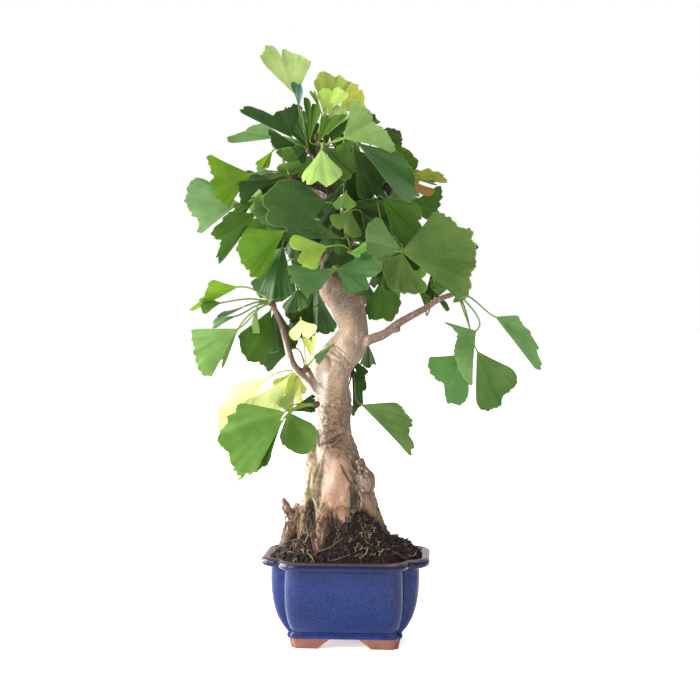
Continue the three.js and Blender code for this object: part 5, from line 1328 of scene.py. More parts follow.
# Each spray's spur, as x, z and y on the elevation, and its leaves: foot, one end, other end, how far
# the margin bulges, how deep its notch is, the name of its tone or a tint of its own and, for some,
# how much it swings in depth.
SPRAYS = {
    "apex_spray": ((-38, 492, -6), [
        ((-50, 545, -14), (-84, 576, -24), (-35, 579, -8), 0.34, 0.16, "young"),
        ((-48, 534, -18), (-56, 558, -20), (-43, 550, -16), 0.05, 0, (34, 62, 48)),
        ((-55, 504, -18), (-106, 528, -32), (-44, 535, -14), -0.3, 0.1, (44, 72, 34)),
        ((-63, 505, -10), (-117, 497, -2), (-83, 519, 4), 0.15, 0.1, (48, 77, 30)),
        ((-50, 496, -22), (-77, 515, -30), (-70, 493, -32), 0.08, 0, "deep"),
        ((-42, 495, -24), (-57, 496, -32), (-49, 489, -34), 0.05, 0, "mid"),
        ((-40, 500, -10), (-64, 520, -8), (-40, 529, -6), 0.1, 0, (44, 70, 34), 0),
        ((-36, 488, 0), (-58, 510, 2), (-26, 516, 2), 0.1, 0, "deep", 0),
        ((-36, 496, 4), (-54, 491, 4), (-42, 478, 4), 0, 0, "deep", 0),
    ]),
    "top_spray": ((-23, 494, -20), [
        ((-37, 501, -26), (-44, 544, -26), (-25, 530, -26), 0.02, 0, "mid", 0),
        ((-29, 499, -32), (-26, 526, -32), (2, 527, -30), -0.12, 0, "mid", 0),
        ((-4, 503, -52), (4, 547, -60), (51, 488, -60), -0.27, 0.05, (88, 114, 60)),
        ((-24, 496, -46), (7, 489, -52), (-9, 463, -56), 0.2, 0, "olive"),
        ((-25, 492, -62), (-46, 469, -74), (-4, 472, -72), 0.4, 0.16, (104, 128, 62)),
        ((-3, 500, -40), (-11, 495, -44), (3, 485, -44), 0.1, 0.4, "bright"),
        ((-12, 497, -22), (-18, 524, -16), (6, 520, -16), 0.1, 0, "mid", 0),
        ((-20, 495, -8), (-27, 512, -6), (-14, 512, -6), 0, 0, "mid", 0),
        ((-31, 486, -5), (-42, 500, -7), (-22, 501, -7), 0, 0, "deep", 0),
    ]),
    "crest_spray": ((-29, 506, -13), [
        ((-20, 530, -10), (-33, 555, -6), (3, 552, -2), 0.42, 0.2, (121, 140, 58)),
        ((-23, 526, -17), (-30, 547, -17), (3, 544, -19), 0.02, 0.22, (108, 130, 50)),
        ((-9, 528, -4), (2, 556, 2), (20, 534, 6), 0.12, 0.25, (168, 171, 70)),
        ((-25, 528, -12), (-37, 549, -6), (-31, 550, -4), 0, 0, "lime"),
        ((-18, 509, -22), (-20, 538, -22), (3, 524, -22), 0.06, 0, "young", 0),
    ]),
    "upper_left_spray": ((-56, 465, -22), [
        ((-95, 468, -44), (-140, 489, -54), (-119, 433, -56), -0.1, 0, (70, 100, 12)),
        ((-76, 463, -34), (-98, 473, -40), (-104, 435, -38), -0.12, 0, "deep"),
        ((-74, 491, -12), (-92, 479, -8), (-77, 475, -20), 0.08, 0, "lime"),
        ((-64, 483, -26), (-71, 489, -28), (-53, 490, -26), 0, 0.2, "mid"),
        ((-47, 470, -6), (-85, 470, -14), (-71, 434, -14), 0.12, 0, "deep"),
    ]),
    "far_left_spray": ((-61, 446, -10), [
        ((-107, 439, -26), (-144, 464, -28), (-147, 407, -30), 0.06, 0, (76, 104, 60)),
        ((-112, 432, -14), (-132, 410, -12), (-125, 402, -18), 0.1, 0.2, (78, 112, 54)),
        ((-90, 429, -36), (-115, 431, -44), (-127, 375, -50), 0.04, 0, "mid"),
        ((-70, 459, -20), (-91, 452, -16), (-93, 429, -20), 0.06, 0, "bright"),
        ((-92, 441, -22), (-114, 439, -24), (-104, 425, -26), 0, 0, "mid"),
    ]),
    "centre_spray": ((5, 392, -34), [
        ((-20, 440, -50), (-46, 461, -58), (-39, 415, -64), 1.02, 0.05, (39, 63, 22)),
        ((-20, 396, -64), (-50, 409, -74), (-30, 373, -78), 0.18, 0.36, (108, 136, 46)),
        ((2, 390, -48), (19, 402, -56), (9, 385, -54), 0, 0.3, (58, 94, 22)),
        ((-1, 404, -17), (-25, 378, -17), (13, 374, -15), 0.12, 0.1, "deep", 0),
        ((-11, 426, -22), (-31, 396, -26), (3, 394, -24), 0.12, 0.1, "deep"),
        ((-9, 445, -8), (-19, 461, -8), (2, 461, -8), 0, 0, "deep", 0),
    ]),
    "mid_left_spray": ((-54, 406, -18), [
        ((-62, 412, -34), (-99, 414, -42), (-84, 365, -46), 0.17, 0, "bright"),
        ((-64, 399, -26), (-89, 352, -50), (-51, 354, -34), 0.14, 0, (20, 48, 5)),
        ((-61, 437, -38), (-92, 442, -44), (-81, 418, -46), 0.08, 0.1, "blue"),
        ((-60, 411, -22), (-79, 420, -22), (-75, 412, -28), 0, 0, "blue"),
        ((-44, 429, -6), (-64, 392, -16), (-27, 387, -14), 0.12, 0.1, "deep"),
    ]),
    "heart_spray": ((-3, 428, -30), [
        ((4, 431, -54), (-17, 428, -62), (17, 409, -64), 0.02, 0.35, (60, 84, 32)),
        ((-1, 450, -52), (-15, 439, -58), (10, 439, -58), 0.12, 0.4, (58, 88, 26)),
        ((-3, 437, -40), (29, 446, -38), (39, 428, -44), 0, 0.05, "deep"),
        ((-5, 404, -40), (-64, 402, -44), (-35, 426, -42), 0.06, 0.1, "deep"),
        ((14, 431, -36), (30, 421, -38), (19, 398, -44), 0.08, 0, "olive"),
        ((5, 444, -22), (3, 406, -30), (46, 420, -28), 0.1, 0.1, "deep"),
        ((-9, 444, -15), (-31, 418, -17), (-2, 404, -15), 0.12, 0.1, "deep", 0),
        ((-6, 456, -8), (-25, 442, -8), (-7, 420, -8), 0.16, 0.1, "deep", 0),
    ]),
    "upper_right_spray": ((15, 482, -18), [
        ((6, 495, -42), (11, 448, -54), (45, 444, -52), 0.08, 0.16, "deep"),
        ((10, 499, -46), (46, 492, -42), (55, 438, -44), 0.16, 0.08, (40, 71, 26)),
        ((3, 494, -14), (-3, 446, -24), (27, 452, -24), 0.1, 0.1, "deep"),
        ((3, 504, -12), (-13, 514, -12), (-9, 492, -12), 0.1, 0, "deep", 0),
        ((8, 492, -26), (25, 452, -26), (44, 482, -26), 0.1, 0, "deep", 0),
    ]),
    "shoulder_spray": ((45, 456, -12), [
        ((37, 501, -14), (58, 494, -14), (67, 470, -18), 0.06, 0, "mid"),
        ((15, 511, -2), (20, 529, 6), (34, 519, 8), 0, 0, "deep"),
        ((27, 506, -4), (41, 515, 6), (54, 495, 2), 0.06, 0, "olive"),
        ((58, 436, -8), (93, 458, -2), (83, 420, -8), 0.12, 0, "mid"),
        ((37, 452, -4), (21, 436, -4), (47, 420, -4), 0.14, 0.1, "deep", 0),
    ]),
    "autumn_spray": ((52, 464, -22), [
        ((60, 465, -20), (79, 474, -20), (99, 459, -22), 0.05, 0.5, (102, 108, 30)),
        ((61, 464, -24), (88, 452, -28), (60, 448, -30), -0.04, 0.25, (116, 88, 38)),
        ((62, 465, -16), (87, 465, -12), (89, 456, -12), 0, 0, (104, 116, 62), 0),
        ((41, 444, -4), (31, 462, -6), (49, 461, -6), 0, 0, "deep", 0),
    ]),
    "mid_right_spray": ((38, 398, -34), [
        ((54, 391, -72), (85, 428, -76), (107, 347, -82), 0.17, 0.04, "olive", 0),
        ((55, 390, -70), (83, 354, -76), (36, 384, -74), 0.14, 0, "olive", 0),
        ((56, 392, -68), (33, 380, -72), (32, 427, -70), 0.14, 0, (58, 82, 42), 0),
        ((35, 445, -44), (67, 441, -46), (49, 388, -54), 0.2, 0, "mid"),
        ((39, 388, -44), (21, 361, -52), (44, 354, -52), 0.08, 0.15, "deep"),
        ((50, 402, -58), (36, 374, -60), (74, 378, -62), 0.1, 0, "deep", 0),
    ]),
    "right_back_spray": ((103, 380, 10), [
        ((110, 386, -4), (118, 412, 0), (131, 394, -2), 0, 0.3, "deep"),
        ((113, 371, -10), (127, 384, -10), (126, 368, -12), 0.05, 0, "mid"),
        ((105, 358, -8), (87, 365, -8), (93, 347, -10), 0.05, 0, "mid"),
        ((85, 354, -2), (98, 331, -4), (102, 337, -2), 0, 0.2, "deep"),
        ((79, 331, -6), (71, 354, -6), (84, 342, -4), 0, 0, "mid"),
        ((84, 370, 0), (77, 346, 0), (94, 347, 0), 0, 0, "deep"),
    ]),
    "right_tip_spray": ((111, 350, -30), [
        ((148, 326, -38), (171, 328, -32), (192, 268, -44), -0.06, 0, (72, 108, 58)),
        ((129, 312, -44), (99, 321, -36), (125, 255, -48), -0.46, 0, "blue"),
        ((120, 289, -36), (85, 286, -38), (123, 244, -42), 0.26, 0.42, (62, 100, 48)),
        ((130, 292, -26), (170, 272, -18), (128, 240, -24), 0.2, 0.04, (57, 86, 34)),
        ((110, 351, -34), (105, 341, -38), (122, 349, -38), 0.1, 0, "mid"),
    ]),
    "low_centre_spray": ((-9, 374, -30), [
        ((-12, 372, -50), (-58, 379, -58), (-28, 351, -62), 0.17, 0.12, (54, 82, 38)),
        ((-10, 374, -48), (24, 396, -54), (-2, 349, -56), 0.22, 0.42, (52, 82, 40)),
        ((-50, 355, -44), (-48, 332, -50), (-40, 345, -48), 0, 0, "blue"),
        ((-49, 354, -24), (-66, 337, -22), (-49, 331, -24), 0.05, 0, "deep"),
    ]),
    "left_tip_spray": ((-76, 340, -30), [
        ((-108, 356, -38), (-132, 362, -42), (-155, 330, -42), -0.12, 0.25, "lime"),
        ((-126, 340, -30), (-140, 346, -26), (-141, 329, -28), 0.1, 0, "mid"),
        ((-101, 337, -34), (-130, 323, -36), (-125, 330, -24), 0, 0, "deep"),
        ((-110, 327, -24), (-130, 326, -18), (-134, 314, -22), 0, 0, "blue"),
        ((-109, 314, -46), (-153, 315, -54), (-138, 262, -58), -0.02, 0.04, (98, 130, 66)),
        ((-110, 312, -36), (-127, 290, -38), (-122, 273, -34), -0.05, 0, "lime"),
        ((-90, 336, -38), (-99, 310, -42), (-88, 311, -34), 0, 0, "blue"),
        ((-76, 333, -20), (-110, 307, -24), (-75, 293, -26), 0.3, 0.06, "mid"),
        ((-71, 336, -12), (-89, 298, -14), (-47, 302, -12), 0.1, 0.1, "deep", 0),
    ]),
    "left_mid_spray": ((-41, 275, -26), [
        ((-53, 295, -16), (-81, 310, -10), (-79, 269, -18), 0.02, 0.12, "deep"),
        ((-46, 323, -22), (-59, 311, -26), (-30, 318, -24), 0.22, 0.45, (182, 190, 116)),
        ((-15, 297, -44), (-33, 287, -48), (-27, 278, -50), 0, 0, "blue"),
    ]),
    "lower_left_spray": ((-32, 238, -24), [
        ((-63, 225, -44), (-101, 190, -50), (-85, 173, -50), 0.06, 0, (88, 126, 48)),
        ((-62, 231, -50), (-102, 240, -56), (-89, 176, -64), 0.28, 0.06, (70, 102, 42)),
        ((-65, 222, -36), (-111, 179, -42), (-105, 162, -44), 0, 0, "bright"),
        ((-65, 221, -40), (-95, 170, -46), (-80, 178, -44), 0, 0, "mid"),
        ((-59, 231, -30), (-67, 210, -32), (-34, 219, -28), 0.8, 0, (66, 97, 36)),
        ((-58, 231, -18), (-36, 250, -10), (-33, 231, -6), 0, 0, "deep"),
    ]),
    "yellow_spray": ((-39, 268, 14), [
        ((-50, 273, -2), (-75, 262, -2), (-38, 251, 4), 0.08, 0.1, (140, 158, 76)),
        ((-79, 265, -14), (-110, 260, -8), (-124, 197, -10), 0.02, 0.3, (182, 190, 104)),
        ((-59, 265, -8), (-104, 241, -6), (-66, 229, -4), 0.04, 0, (194, 206, 134)),
        ((-48, 263, 6), (-60, 243, 10), (-43, 236, 12), 0, 0.35, "pale"),
        ((-35, 284, 0), (-45, 302, 0), (-28, 306, 0), 0, 0.2, "pale"),
        ((-52, 262, -2), (-68, 238, -2), (-52, 232, -2), 0, 0.1, (140, 158, 76)),
    ]),
    "behind_spray": ((5, 270, 20), [
        ((14, 238, 6), (45, 241, 10), (67, 183, 0), -0.02, 0.2, (72, 98, 46)),
        ((5, 274, 18), (17, 266, 24), (5, 232, 20), 0.04, 0.15, "deep"),
        ((21, 299, 22), (30, 279, 24), (11, 274, 24), 0, 0.2, "deep"),
        ((1, 240, 20), (10, 235, 26), (5, 226, 22), 0.1, 0, "mid"),
        ((5, 286, 18), (21, 272, 22), (12, 258, 22), 0, 0, "deep"),
    ]),
    "hollow_spray": ((-25, 366, 14), [
        ((-34, 352, 12), (-63, 312, 10), (-31, 305, 12), 0.1, 0.1, "deep", 0),
        ((-30, 353, 14), (-38, 314, 8), (-10, 317, 16), 0.06, 0.1, "deep"),
        ((-32, 336, 10), (-61, 331, 10), (-55, 320, 4), 0, 0, "deep"),
    ]),
    "under_crown_spray": ((7, 372, 12), [
        ((36, 366, 14), (17, 334, 8), (56, 340, 10), 0.26, 0.12, "mid"),
    ]),
}

# By spray and the leaf's number: how far its margin reaches, in percent of a plain fan, from end to end.
MARGINS = {
    ("centre_spray", 0): (98, 101, 103, 100, 97, 99, 101, 97, 90, 97, 100, 93, 84, 95, 102, 99, 106),
    ("apex_spray", 0): (104, 109, 101, 98, 99, 97, 92, 68, 83, 85, 83, 79, 81, 84, 84, 88, 95),
    ("apex_spray", 2): (109, 107, 98, 78, 68, 73, 77, 77, 80, 83, 86, 89, 92, 98, 100, 100, 100),
    ("apex_spray", 3): (99, 102, 104, 105, 98, 96, 93, 90, 89, 89, 87, 88, 89, 88, 91, 98, 104),
    ("crest_spray", 0): (106, 100, 97, 94, 99, 98, 96, 97, 93, 85, 85, 94, 96, 95, 97, 104, 118),
    ("crest_spray", 2): (108, 105, 103, 101, 100, 95, 87, 87, 91, 91, 91, 91, 89, 85, 86, 92, 98),
    ("upper_left_spray", 0): (98, 101, 95, 93, 90, 89, 89, 100, 100, 100, 100, 100, 100, 100, 100, 100, 100),
    ("far_left_spray", 0): (97, 107, 113, 112, 111, 106, 106, 105, 100, 98, 92, 91, 86, 88, 91, 102, 100),
    ("far_left_spray", 1): (113, 106, 101, 98, 94, 92, 90, 89, 88, 87, 87, 89, 86, 86, 89, 97, 116),
    ("far_left_spray", 2): (100, 100, 100, 100, 100, 118, 118, 110, 103, 89, 84, 85, 85, 96, 93, 97, 99),
    ("mid_left_spray", 0): (100, 100, 100, 100, 100, 102, 102, 100, 99, 100, 98, 98, 93, 105, 104, 103, 98),
    ("mid_left_spray", 4): (97, 95, 94, 96, 99, 97, 98, 100, 100, 100, 100, 100, 100, 100, 100, 100, 100),
    ("shoulder_spray", 0): (113, 109, 107, 105, 106, 106, 102, 106, 110, 111, 107, 106, 106, 103, 98, 98, 100),
    ("shoulder_spray", 1): (115, 101, 101, 99, 102, 101, 99, 96, 93, 92, 88, 85, 88, 90, 91, 95, 98),
    ("shoulder_spray", 2): (95, 95, 91, 93, 100, 99, 102, 114, 111, 110, 106, 104, 105, 100, 99, 99, 107),
    ("shoulder_spray", 3): (94, 95, 92, 90, 89, 83, 84, 84, 82, 83, 89, 108, 100, 100, 100, 100, 100),
    ("autumn_spray", 0): (109, 102, 97, 92, 89, 86, 86, 84, 91, 96, 98, 99, 97, 99, 102, 100, 93),
    ("mid_right_spray", 0): (111, 105, 103, 103, 102, 99, 113, 107, 110, 107, 105, 106, 100, 104, 111, 113, 114),
    ("right_back_spray", 0): (112, 115, 116, 115, 114, 107, 97, 95, 92, 91, 92, 94, 96, 96, 98, 100, 93),
    ("right_back_spray", 1): (105, 102, 95, 90, 87, 85, 84, 83, 77, 73, 75, 74, 73, 72, 74, 68, 70),
    ("right_back_spray", 3): (100, 99, 99, 99, 100, 101, 102, 103, 105, 106, 106, 107, 108, 106, 98, 96, 89),
    ("right_tip_spray", 0): (94, 89, 85, 81, 77, 75, 74, 81, 90, 89, 92, 102, 95, 91, 102, 99, 95),
    ("right_tip_spray", 1): (116, 79, 78, 70, 70, 74, 77, 84, 87, 99, 104, 103, 102, 102, 101, 100, 101),
    ("right_tip_spray", 2): (111, 103, 99, 94, 88, 83, 80, 73, 80, 86, 91, 97, 98, 101, 102, 100, 92),
    ("right_tip_spray", 3): (88, 94, 100, 101, 98, 98, 98, 96, 103, 105, 105, 105, 105, 106, 108, 104, 102),
    ("left_tip_spray", 0): (109, 109, 107, 103, 99, 95, 94, 92, 92, 91, 87, 87, 94, 91, 95, 107, 107),
    ("left_tip_spray", 4): (103, 103, 102, 99, 101, 99, 97, 98, 99, 97, 100, 102, 102, 103, 101, 94, 96),
    ("left_tip_spray", 7): (96, 94, 93, 96, 95, 99, 99, 103, 105, 104, 105, 102, 113, 117, 100, 100, 100),
    ("lower_left_spray", 0): (100, 100, 100, 100, 100, 100, 100, 111, 111, 112, 112, 110, 107, 105, 106, 107, 108),
    ("lower_left_spray", 1): (115, 103, 95, 89, 99, 92, 90, 97, 99, 104, 96, 97, 103, 106, 115, 110, 106),
    ("lower_left_spray", 4): (118, 106, 107, 98, 99, 93, 98, 101, 103, 104, 101, 100, 100, 100, 100, 100, 100),
    ("yellow_spray", 1): (118, 107, 99, 95, 96, 91, 90, 92, 92, 93, 94, 95, 96, 97, 102, 105, 101),
    ("behind_spray", 0): (111, 109, 105, 103, 99, 98, 97, 102, 101, 98, 93, 90, 89, 98, 98, 90, 97),
    ("behind_spray", 2): (98, 97, 94, 90, 87, 86, 87, 89, 91, 91, 90, 88, 84, 80, 79, 80, 84),
    ("hollow_spray", 1): (100, 100, 118, 118, 96, 97, 96, 94, 98, 99, 104, 101, 100, 100, 100, 100, 101),
    ("under_crown_spray", 0): (100, 100, 100, 103, 100, 99, 94, 90, 96, 100, 101, 94, 96, 96, 93, 95, 99),
    ("mid_left_spray", 3): (100, 100, 107, 106, 105, 106, 107, 107, 104, 106, 108, 111, 100, 100, 100, 100, 100),
}

# Sprays on the far side: spur, leaves and which way they face, as x, z and y.
BACK_SPRAYS = {
    "back_top_spray": ((-21, 491, 23), 6, (-0.1, 0.3, 1)),
    "back_left_spray": ((-48, 452, 33), 6, (-0.35, 0, 0.9)),
    "back_right_spray": ((21, 458, 34), 6, (0.4, 0, 0.9)),
    "back_middle_spray": ((-10, 412, 38), 5, (0, 0, 1)),
    "back_low_left_spray": ((-48, 385, 31), 5, (-0.1, 0.1, 1)),
    "back_low_right_spray": ((29, 383, 33), 5, (0.1, 0.1, 1)),
}
BACK_SEED = 34
BACK_PETIOLE = (14, 28)
BACK_BLADE = (34, 46)
BACK_SPREAD = (0.45, 0.8)
BACK_LEAN = (0.9, 1.2)
DROOP = 0.8
BACK_BULGE = 0.12
BACK_NOTCH = (0, 0.3)

BACK_TONES = ("mid", "deep", "bright", "blue", "deep", "mid")
MULTIPLIER, INCREMENT, MODULUS = 1103515245.0, 12345.0, 2147483648.0  # each drawn number makes the next

SWING = 0.5
SWING_STEP = 2.4
SWING_LAG = 2
CUP = 0.09
RIPPLE = 0.018
TRACED_WAIST, RULED_WAIST = 0.02, 0.11  # how much narrower a blade gets half way up
TRACED_CORNER, RULED_CORNER = 0.06, 0.13  # how far its corners are rounded off
STALK_ARCH = 0.35
STALK_SIDES, SPUR_SIDES = 6, 12
SPUR_RADIUS = 4.2
SPUR_RINGS = 17
SHARP_ANGLE = math.radians(62)

ACROSS = 44  # faces across a large blade
ALONG = 8
ALONG_SHORT = 5  # along a blade no longer than SHORT
SHORT = 22

# Material slots of the sprays that aren't plain green
SLOTS = {
    "crest_spray": "young_leaf",
    "autumn_spray": "amber_leaf",
    "yellow_spray": "pale_leaf",
    "low_centre_spray": "deep_leaf",
    "upper_right_spray": "deep_leaf",
    "lower_left_spray": "bright_leaf",
}

# Blemishes: the spray, the leaf's number, and across, along, size and strength of each brown spot.
BLEMISHES = {
    ("upper_left_spray", 0): ((0.35, 0.55, 0.05, 0.9), (0.62, 0.75, 0.03, 0.5)),
    ("autumn_spray", 0): ((0.3, 0.35, 0.1, 0.8),),
    ("autumn_spray", 1): ((0.55, 0.4, 0.14, 0.9),),
    ("far_left_spray", 1): ((0.5, 0.9, 0.04, 0.6),),
}

# How dusty the leaves of a spray are
DUSTY = {"heart_spray": 0.7, "centre_spray": 0.55, "upper_right_spray": 0.35, "mid_right_spray": 0.3}


class Blade:
    """One leaf: its foot, both ends of its margin as vectors from it, and how it is cut and coloured."""

    def __init__(self, foot, one, other, bulge, notch, tone, index, reaches=()):
        self.foot, self.one, self.other = foot, one, other
        self.bulge, self.notch, self.tone, self.index, self.reaches = bulge, notch, tone, index, reaches
        self.normal = unit(np.cross(one, other))
        self.first = unit(one)
        self.second = np.cross(self.normal, self.first)
        self.spread = math.acos(np.clip(self.first.dot(unit(other)), -1, 1))
        self.lengths = np.linalg.norm(one), np.linalg.norm(other)

    def heading(self):
        return self.way(0.5)

    def way(self, share):
        angle = np.asarray(share) * self.spread
        return np.cos(angle)[..., None] * self.first + np.sin(angle)[..., None] * self.second


def placed_blade(row, index, reaches=()):
    """A blade from its row on the elevation."""
    foot, one, other, bulge, notch, tone, *stated = row
    swing = stated[0] if stated else SWING
    ends = []
    for number, (x, z, y) in enumerate((one, other)):
        length = math.hypot(x - foot[0], z - foot[1])
        depth = y + swing * length * math.sin(SWING_STEP * index + number * SWING_LAG)
        ends.append(place(x, z, depth))
    base = place(*foot)
    return Blade(base, ends[0] - base, ends[1] - base, bulge, notch, tone, index, reaches)


def drawer(seed):
    """Draws numbers from 0 to 1, one after another, always the same ones."""
    state = float(seed)
    while True:
        state = (state * MULTIPLIER + INCREMENT) % MODULUS
        yield state / MODULUS


def back_blades(draw, spur, leaves, outward):
    """Leaves that fan out from a spur on the far side and droop."""
    spur = np.array((spur[0], spur[2], spur[1]), float)
    out = unit(np.array((outward[0], outward[2], outward[1]), float))
    side = unit(np.cross(UP, out))
    upward = np.cross(out, side)
    blades = []
    for i in range(leaves):
        turn = 2 * math.pi * (i + 0.6 * next(draw)) / leaves
        lean = lerp(*BACK_LEAN, next(draw))
        petiole = lerp(*BACK_PETIOLE, next(draw))
        spread = lerp(*BACK_SPREAD, next(draw))
        length = lerp(*BACK_BLADE, next(draw))
        notch = lerp(*BACK_NOTCH, next(draw))
        stalk = unit(out + side * lean * math.cos(turn) + upward * lean * math.sin(turn))
        foot = spur + stalk * petiole
        heading = unit(stalk - UP * DROOP + 0.2 * out)
        across = unit(np.cross(heading, out))
        forward = foot + heading * length * math.cos(spread)
        ends = [forward + across * sign * length * math.sin(spread) for sign in (-1, 1)]
        base, one, other = [place(x, z, y) for x, y, z in (foot, *ends)]
        tone = BACK_TONES[i % len(BACK_TONES)]
        blades.append(Blade(base, one - base, other - base, BACK_BULGE, notch, tone, i))
    return blades


def margin(blade, across, settings):
    """How far the margin reaches at shares of the way across, as a share of the blade's length there."""
    draw = random.Random(round(blade.foot[0] * 7 + blade.foot[2] * 13) + blade.index)
    edge = 1 + blade.bulge * 4 * across * (1 - across)
    if blade.reaches:
        edge *= np.interp(across, np.linspace(0, 1, len(blade.reaches)), blade.reaches) / 100
    else:
        middle = 0.5 + draw.uniform(-0.06, 0.06)
        edge -= blade.notch * np.exp(-((np.abs(across - middle) / 0.075) ** 1.4))
        edge += 0.035 * np.sin(across * draw.uniform(9, 15) + draw.uniform(0, 6)) * np.sin(np.pi * across)
        if draw.random() < 0.6:
            edge -= draw.uniform(0.06, 0.16) * np.exp(-((np.abs(across - draw.uniform(0.2, 0.8)) / 0.03) ** 2))
    size = max(np.mean(blade.lengths) * blade.spread, 20)
    marks = [0.0]
    while marks[-1] < 1:
        marks.append(marks[-1] + draw.uniform(0.05, 0.15) * (46 / size) ** 0.5)
    marks[-1] = 1.0
    for start, end in zip(marks, marks[1:]):
        inside = np.clip((across - start) / max(end - start, 0.02), 0, 1)
        bump = np.sin(np.pi * inside) ** 0.6 * ((across >= start) & (across <= end))
        edge += bump * draw.uniform(0.2, 1.4) * settings.crenation
    corner = TRACED_CORNER if blade.reaches else RULED_CORNER
    for side in (across, 1 - across):
        edge -= corner * np.clip(1 - side / 0.07, 0, 1) ** 2
    edge -= 0.5 * settings.crenation
    return edge


def blade_middle(blade, u, v, edge):
    """The sheet half way through a blade at shares across and along it, and its normals."""
    reach = v * edge
    waist = TRACED_WAIST if blade.reaches else RULED_WAIST
    narrow = 1 - waist * np.sin(np.pi * v**0.8) * (1 - 0.3 * v)
    bent = 0.5 + (u - 0.5) * narrow
    phase = blade.index * 1.7 + blade.foot[0] * 0.1
    hollow = CUP * np.sin(np.pi * u) + RIPPLE * np.sin(4 * np.pi * u + blade.index)
    hollow = hollow + 0.008 * v**2 * np.sin(7 * np.pi * u + phase) * np.sin(np.pi * u) ** 0.3
    hollow = hollow + 0.005 * v**2 * np.sin(17 * np.pi * u + 2 * phase)
    hollow = hollow - 0.05 * v**3 + 0.03 * np.exp(-(((u - 0.5) / 0.06) ** 2)) * v
    direction = blade.way(bent.ravel()).reshape(*u.shape, 3)
    middle = blade.foot + direction * reach[..., None] + blade.normal * (hollow * reach)[..., None]
    rise = np.gradient(middle, axis=0)
    turn = np.gradient(middle, axis=1)
    normal = np.cross(rise, turn)
    normal = normal / np.maximum(np.linalg.norm(normal, axis=2, keepdims=True), 1e-6)
    if normal.mean((0, 1)).dot(blade.normal) < 0:
        normal = -normal
    return middle, normal


def blade_skin(blade, settings):
    """The points of both sides of a blade, its faces, the places of the points on the leaf, and which lie below."""
    size = max(blade.lengths) * blade.spread
    columns = 1 + int(np.clip(round(ACROSS * (size / 55) ** 0.7), 14, ACROSS + 8))
    rows = ALONG if max(blade.lengths) > SHORT else ALONG_SHORT
    across = np.linspace(0, 1, columns)
    along = np.linspace(0, 1, rows + 1)[1:] ** 0.85
    edge = margin(blade, across, settings) * lerp(*blade.lengths, across)
    u, v = np.meshgrid(across, along)
    middle, normal = blade_middle(blade, u, v, edge)
    half = settings.thickness * PER_METRE / 2
    offset = half * (1 - 0.45 * v[..., None] ** 3) * normal
    count = rows * columns + 1
    toward = unit(turned((0.1, -1.0, 0.7), TREE_TURN))
    upper_sign = 1.0 if blade.normal.dot(toward) > 0 else -1.0
    skins, under = [], []
    for sign in (1, -1):
        tip = blade.foot + sign * half * blade.normal
        skins.append(np.vstack((tip, (middle + sign * offset).reshape(-1, 3))))
        under.append(np.full(count, 0.0 if sign == upper_sign else 1.0))
    grid = 1 + np.arange(rows * columns).reshape(rows, columns)
    quads = np.stack((grid[:-1, :-1], grid[:-1, 1:], grid[1:, 1:], grid[1:, :-1]), -1).reshape(-1, 4)
    one_side = quads.tolist() + [[0, a, b] for a, b in zip(grid[0], grid[0, 1:])]
    other_side = [[i + count for i in reversed(face)] for face in one_side]
    rim = [0, *grid[:, 0], *grid[-1, 1:], *grid[:-1, -1][::-1]]
    rim_faces = [[a, b, b + count, a + count] for a, b in zip(rim, rim[1:] + rim[:1])]
    number = np.full(count, blade.index * 0.37)
    spots = np.column_stack((np.r_[0.5, u.ravel()], np.r_[0.0, v.ravel()], number))
    return np.vstack(skins), one_side + other_side + rim_faces, np.vstack((spots, spots)), np.concatenate(under)


def stalk_line(blade, spur):
    """A stalk's line: out of its spur, arching up, and into the blade's foot along its heading."""
    away = unit(unit(blade.foot - spur) + UP * STALK_ARCH)
    start = spur + away * 0.4 * SPUR_RADIUS
    span = np.linalg.norm(blade.foot - spur)
    leaving = start + away * 0.4 * span
    arriving = blade.foot - blade.heading() * 0.35 * span
    end = blade.foot + blade.heading() * 1.2
    t = np.linspace(0, 1, max(6, round(span / 3.5)))[:, None]
    line = (1 - t) ** 3 * start + 3 * (1 - t) ** 2 * t * leaving + 3 * (1 - t) * t**2 * arriving + t**3 * end
    t = t[:, 0]
    radius = lerp(0.95, 0.72, t) + 0.5 * np.exp(-((t / 0.08) ** 2)) + 0.25 * np.exp(-(((1 - t) / 0.06) ** 2))
    return line, radius


def spur_shape(spur, way, index):
    """A knobbly short shoot: ringed with the scars of old leaves, with scales at its tip."""
    steps = np.linspace(0, 1, SPUR_RINGS)
    centres = spur + np.outer(steps * 2 - 1.15, way) * SPUR_RADIUS * 0.95
    rings = 1 + 0.1 * np.cos(steps * 2 * np.pi * 4)
    radii = SPUR_RADIUS * 0.82 * np.sin(np.pi * np.clip(steps * 0.9 + 0.09, 0, 1)) ** 0.55 * rings
    return tube(centres, radii, SPUR_SIDES, lambda a, d, r: 1 + 0.09 * np.sin(5 * a + 1.3 * d + index))


def leaf_tint(blade, settings):
    """A leaf's own shade of its tone."""
    base = np.array(getattr(settings, blade.tone) if isinstance(blade.tone, str) else colour(*blade.tone))
    draw = random.Random(round(blade.foot[0] * 5 + blade.foot[2] * 11))
    shade = 1 + draw.uniform(-0.1, 0.1)
    return base * shade * np.array((1 + draw.uniform(-0.06, 0.06), 1.0, 1 + draw.uniform(-0.08, 0.08)))


def woody_values(count, wood, tint=(0.1, 0.1, 0.05)):
    """Values for the points of what isn't a blade: wood is 1 for a short shoot and 0.5 for a stalk."""
    return {
        "leaf_tint": np.tile((*tint, 1.0), (count, 1)),
        "leaf_place": np.tile((0.5, 0.5, 0.0), (count, 1)),
        "leaf_kind": np.tile((0.0, wood, 0.0), (count, 1)),
        "leaf_spot": np.zeros(count),
    }


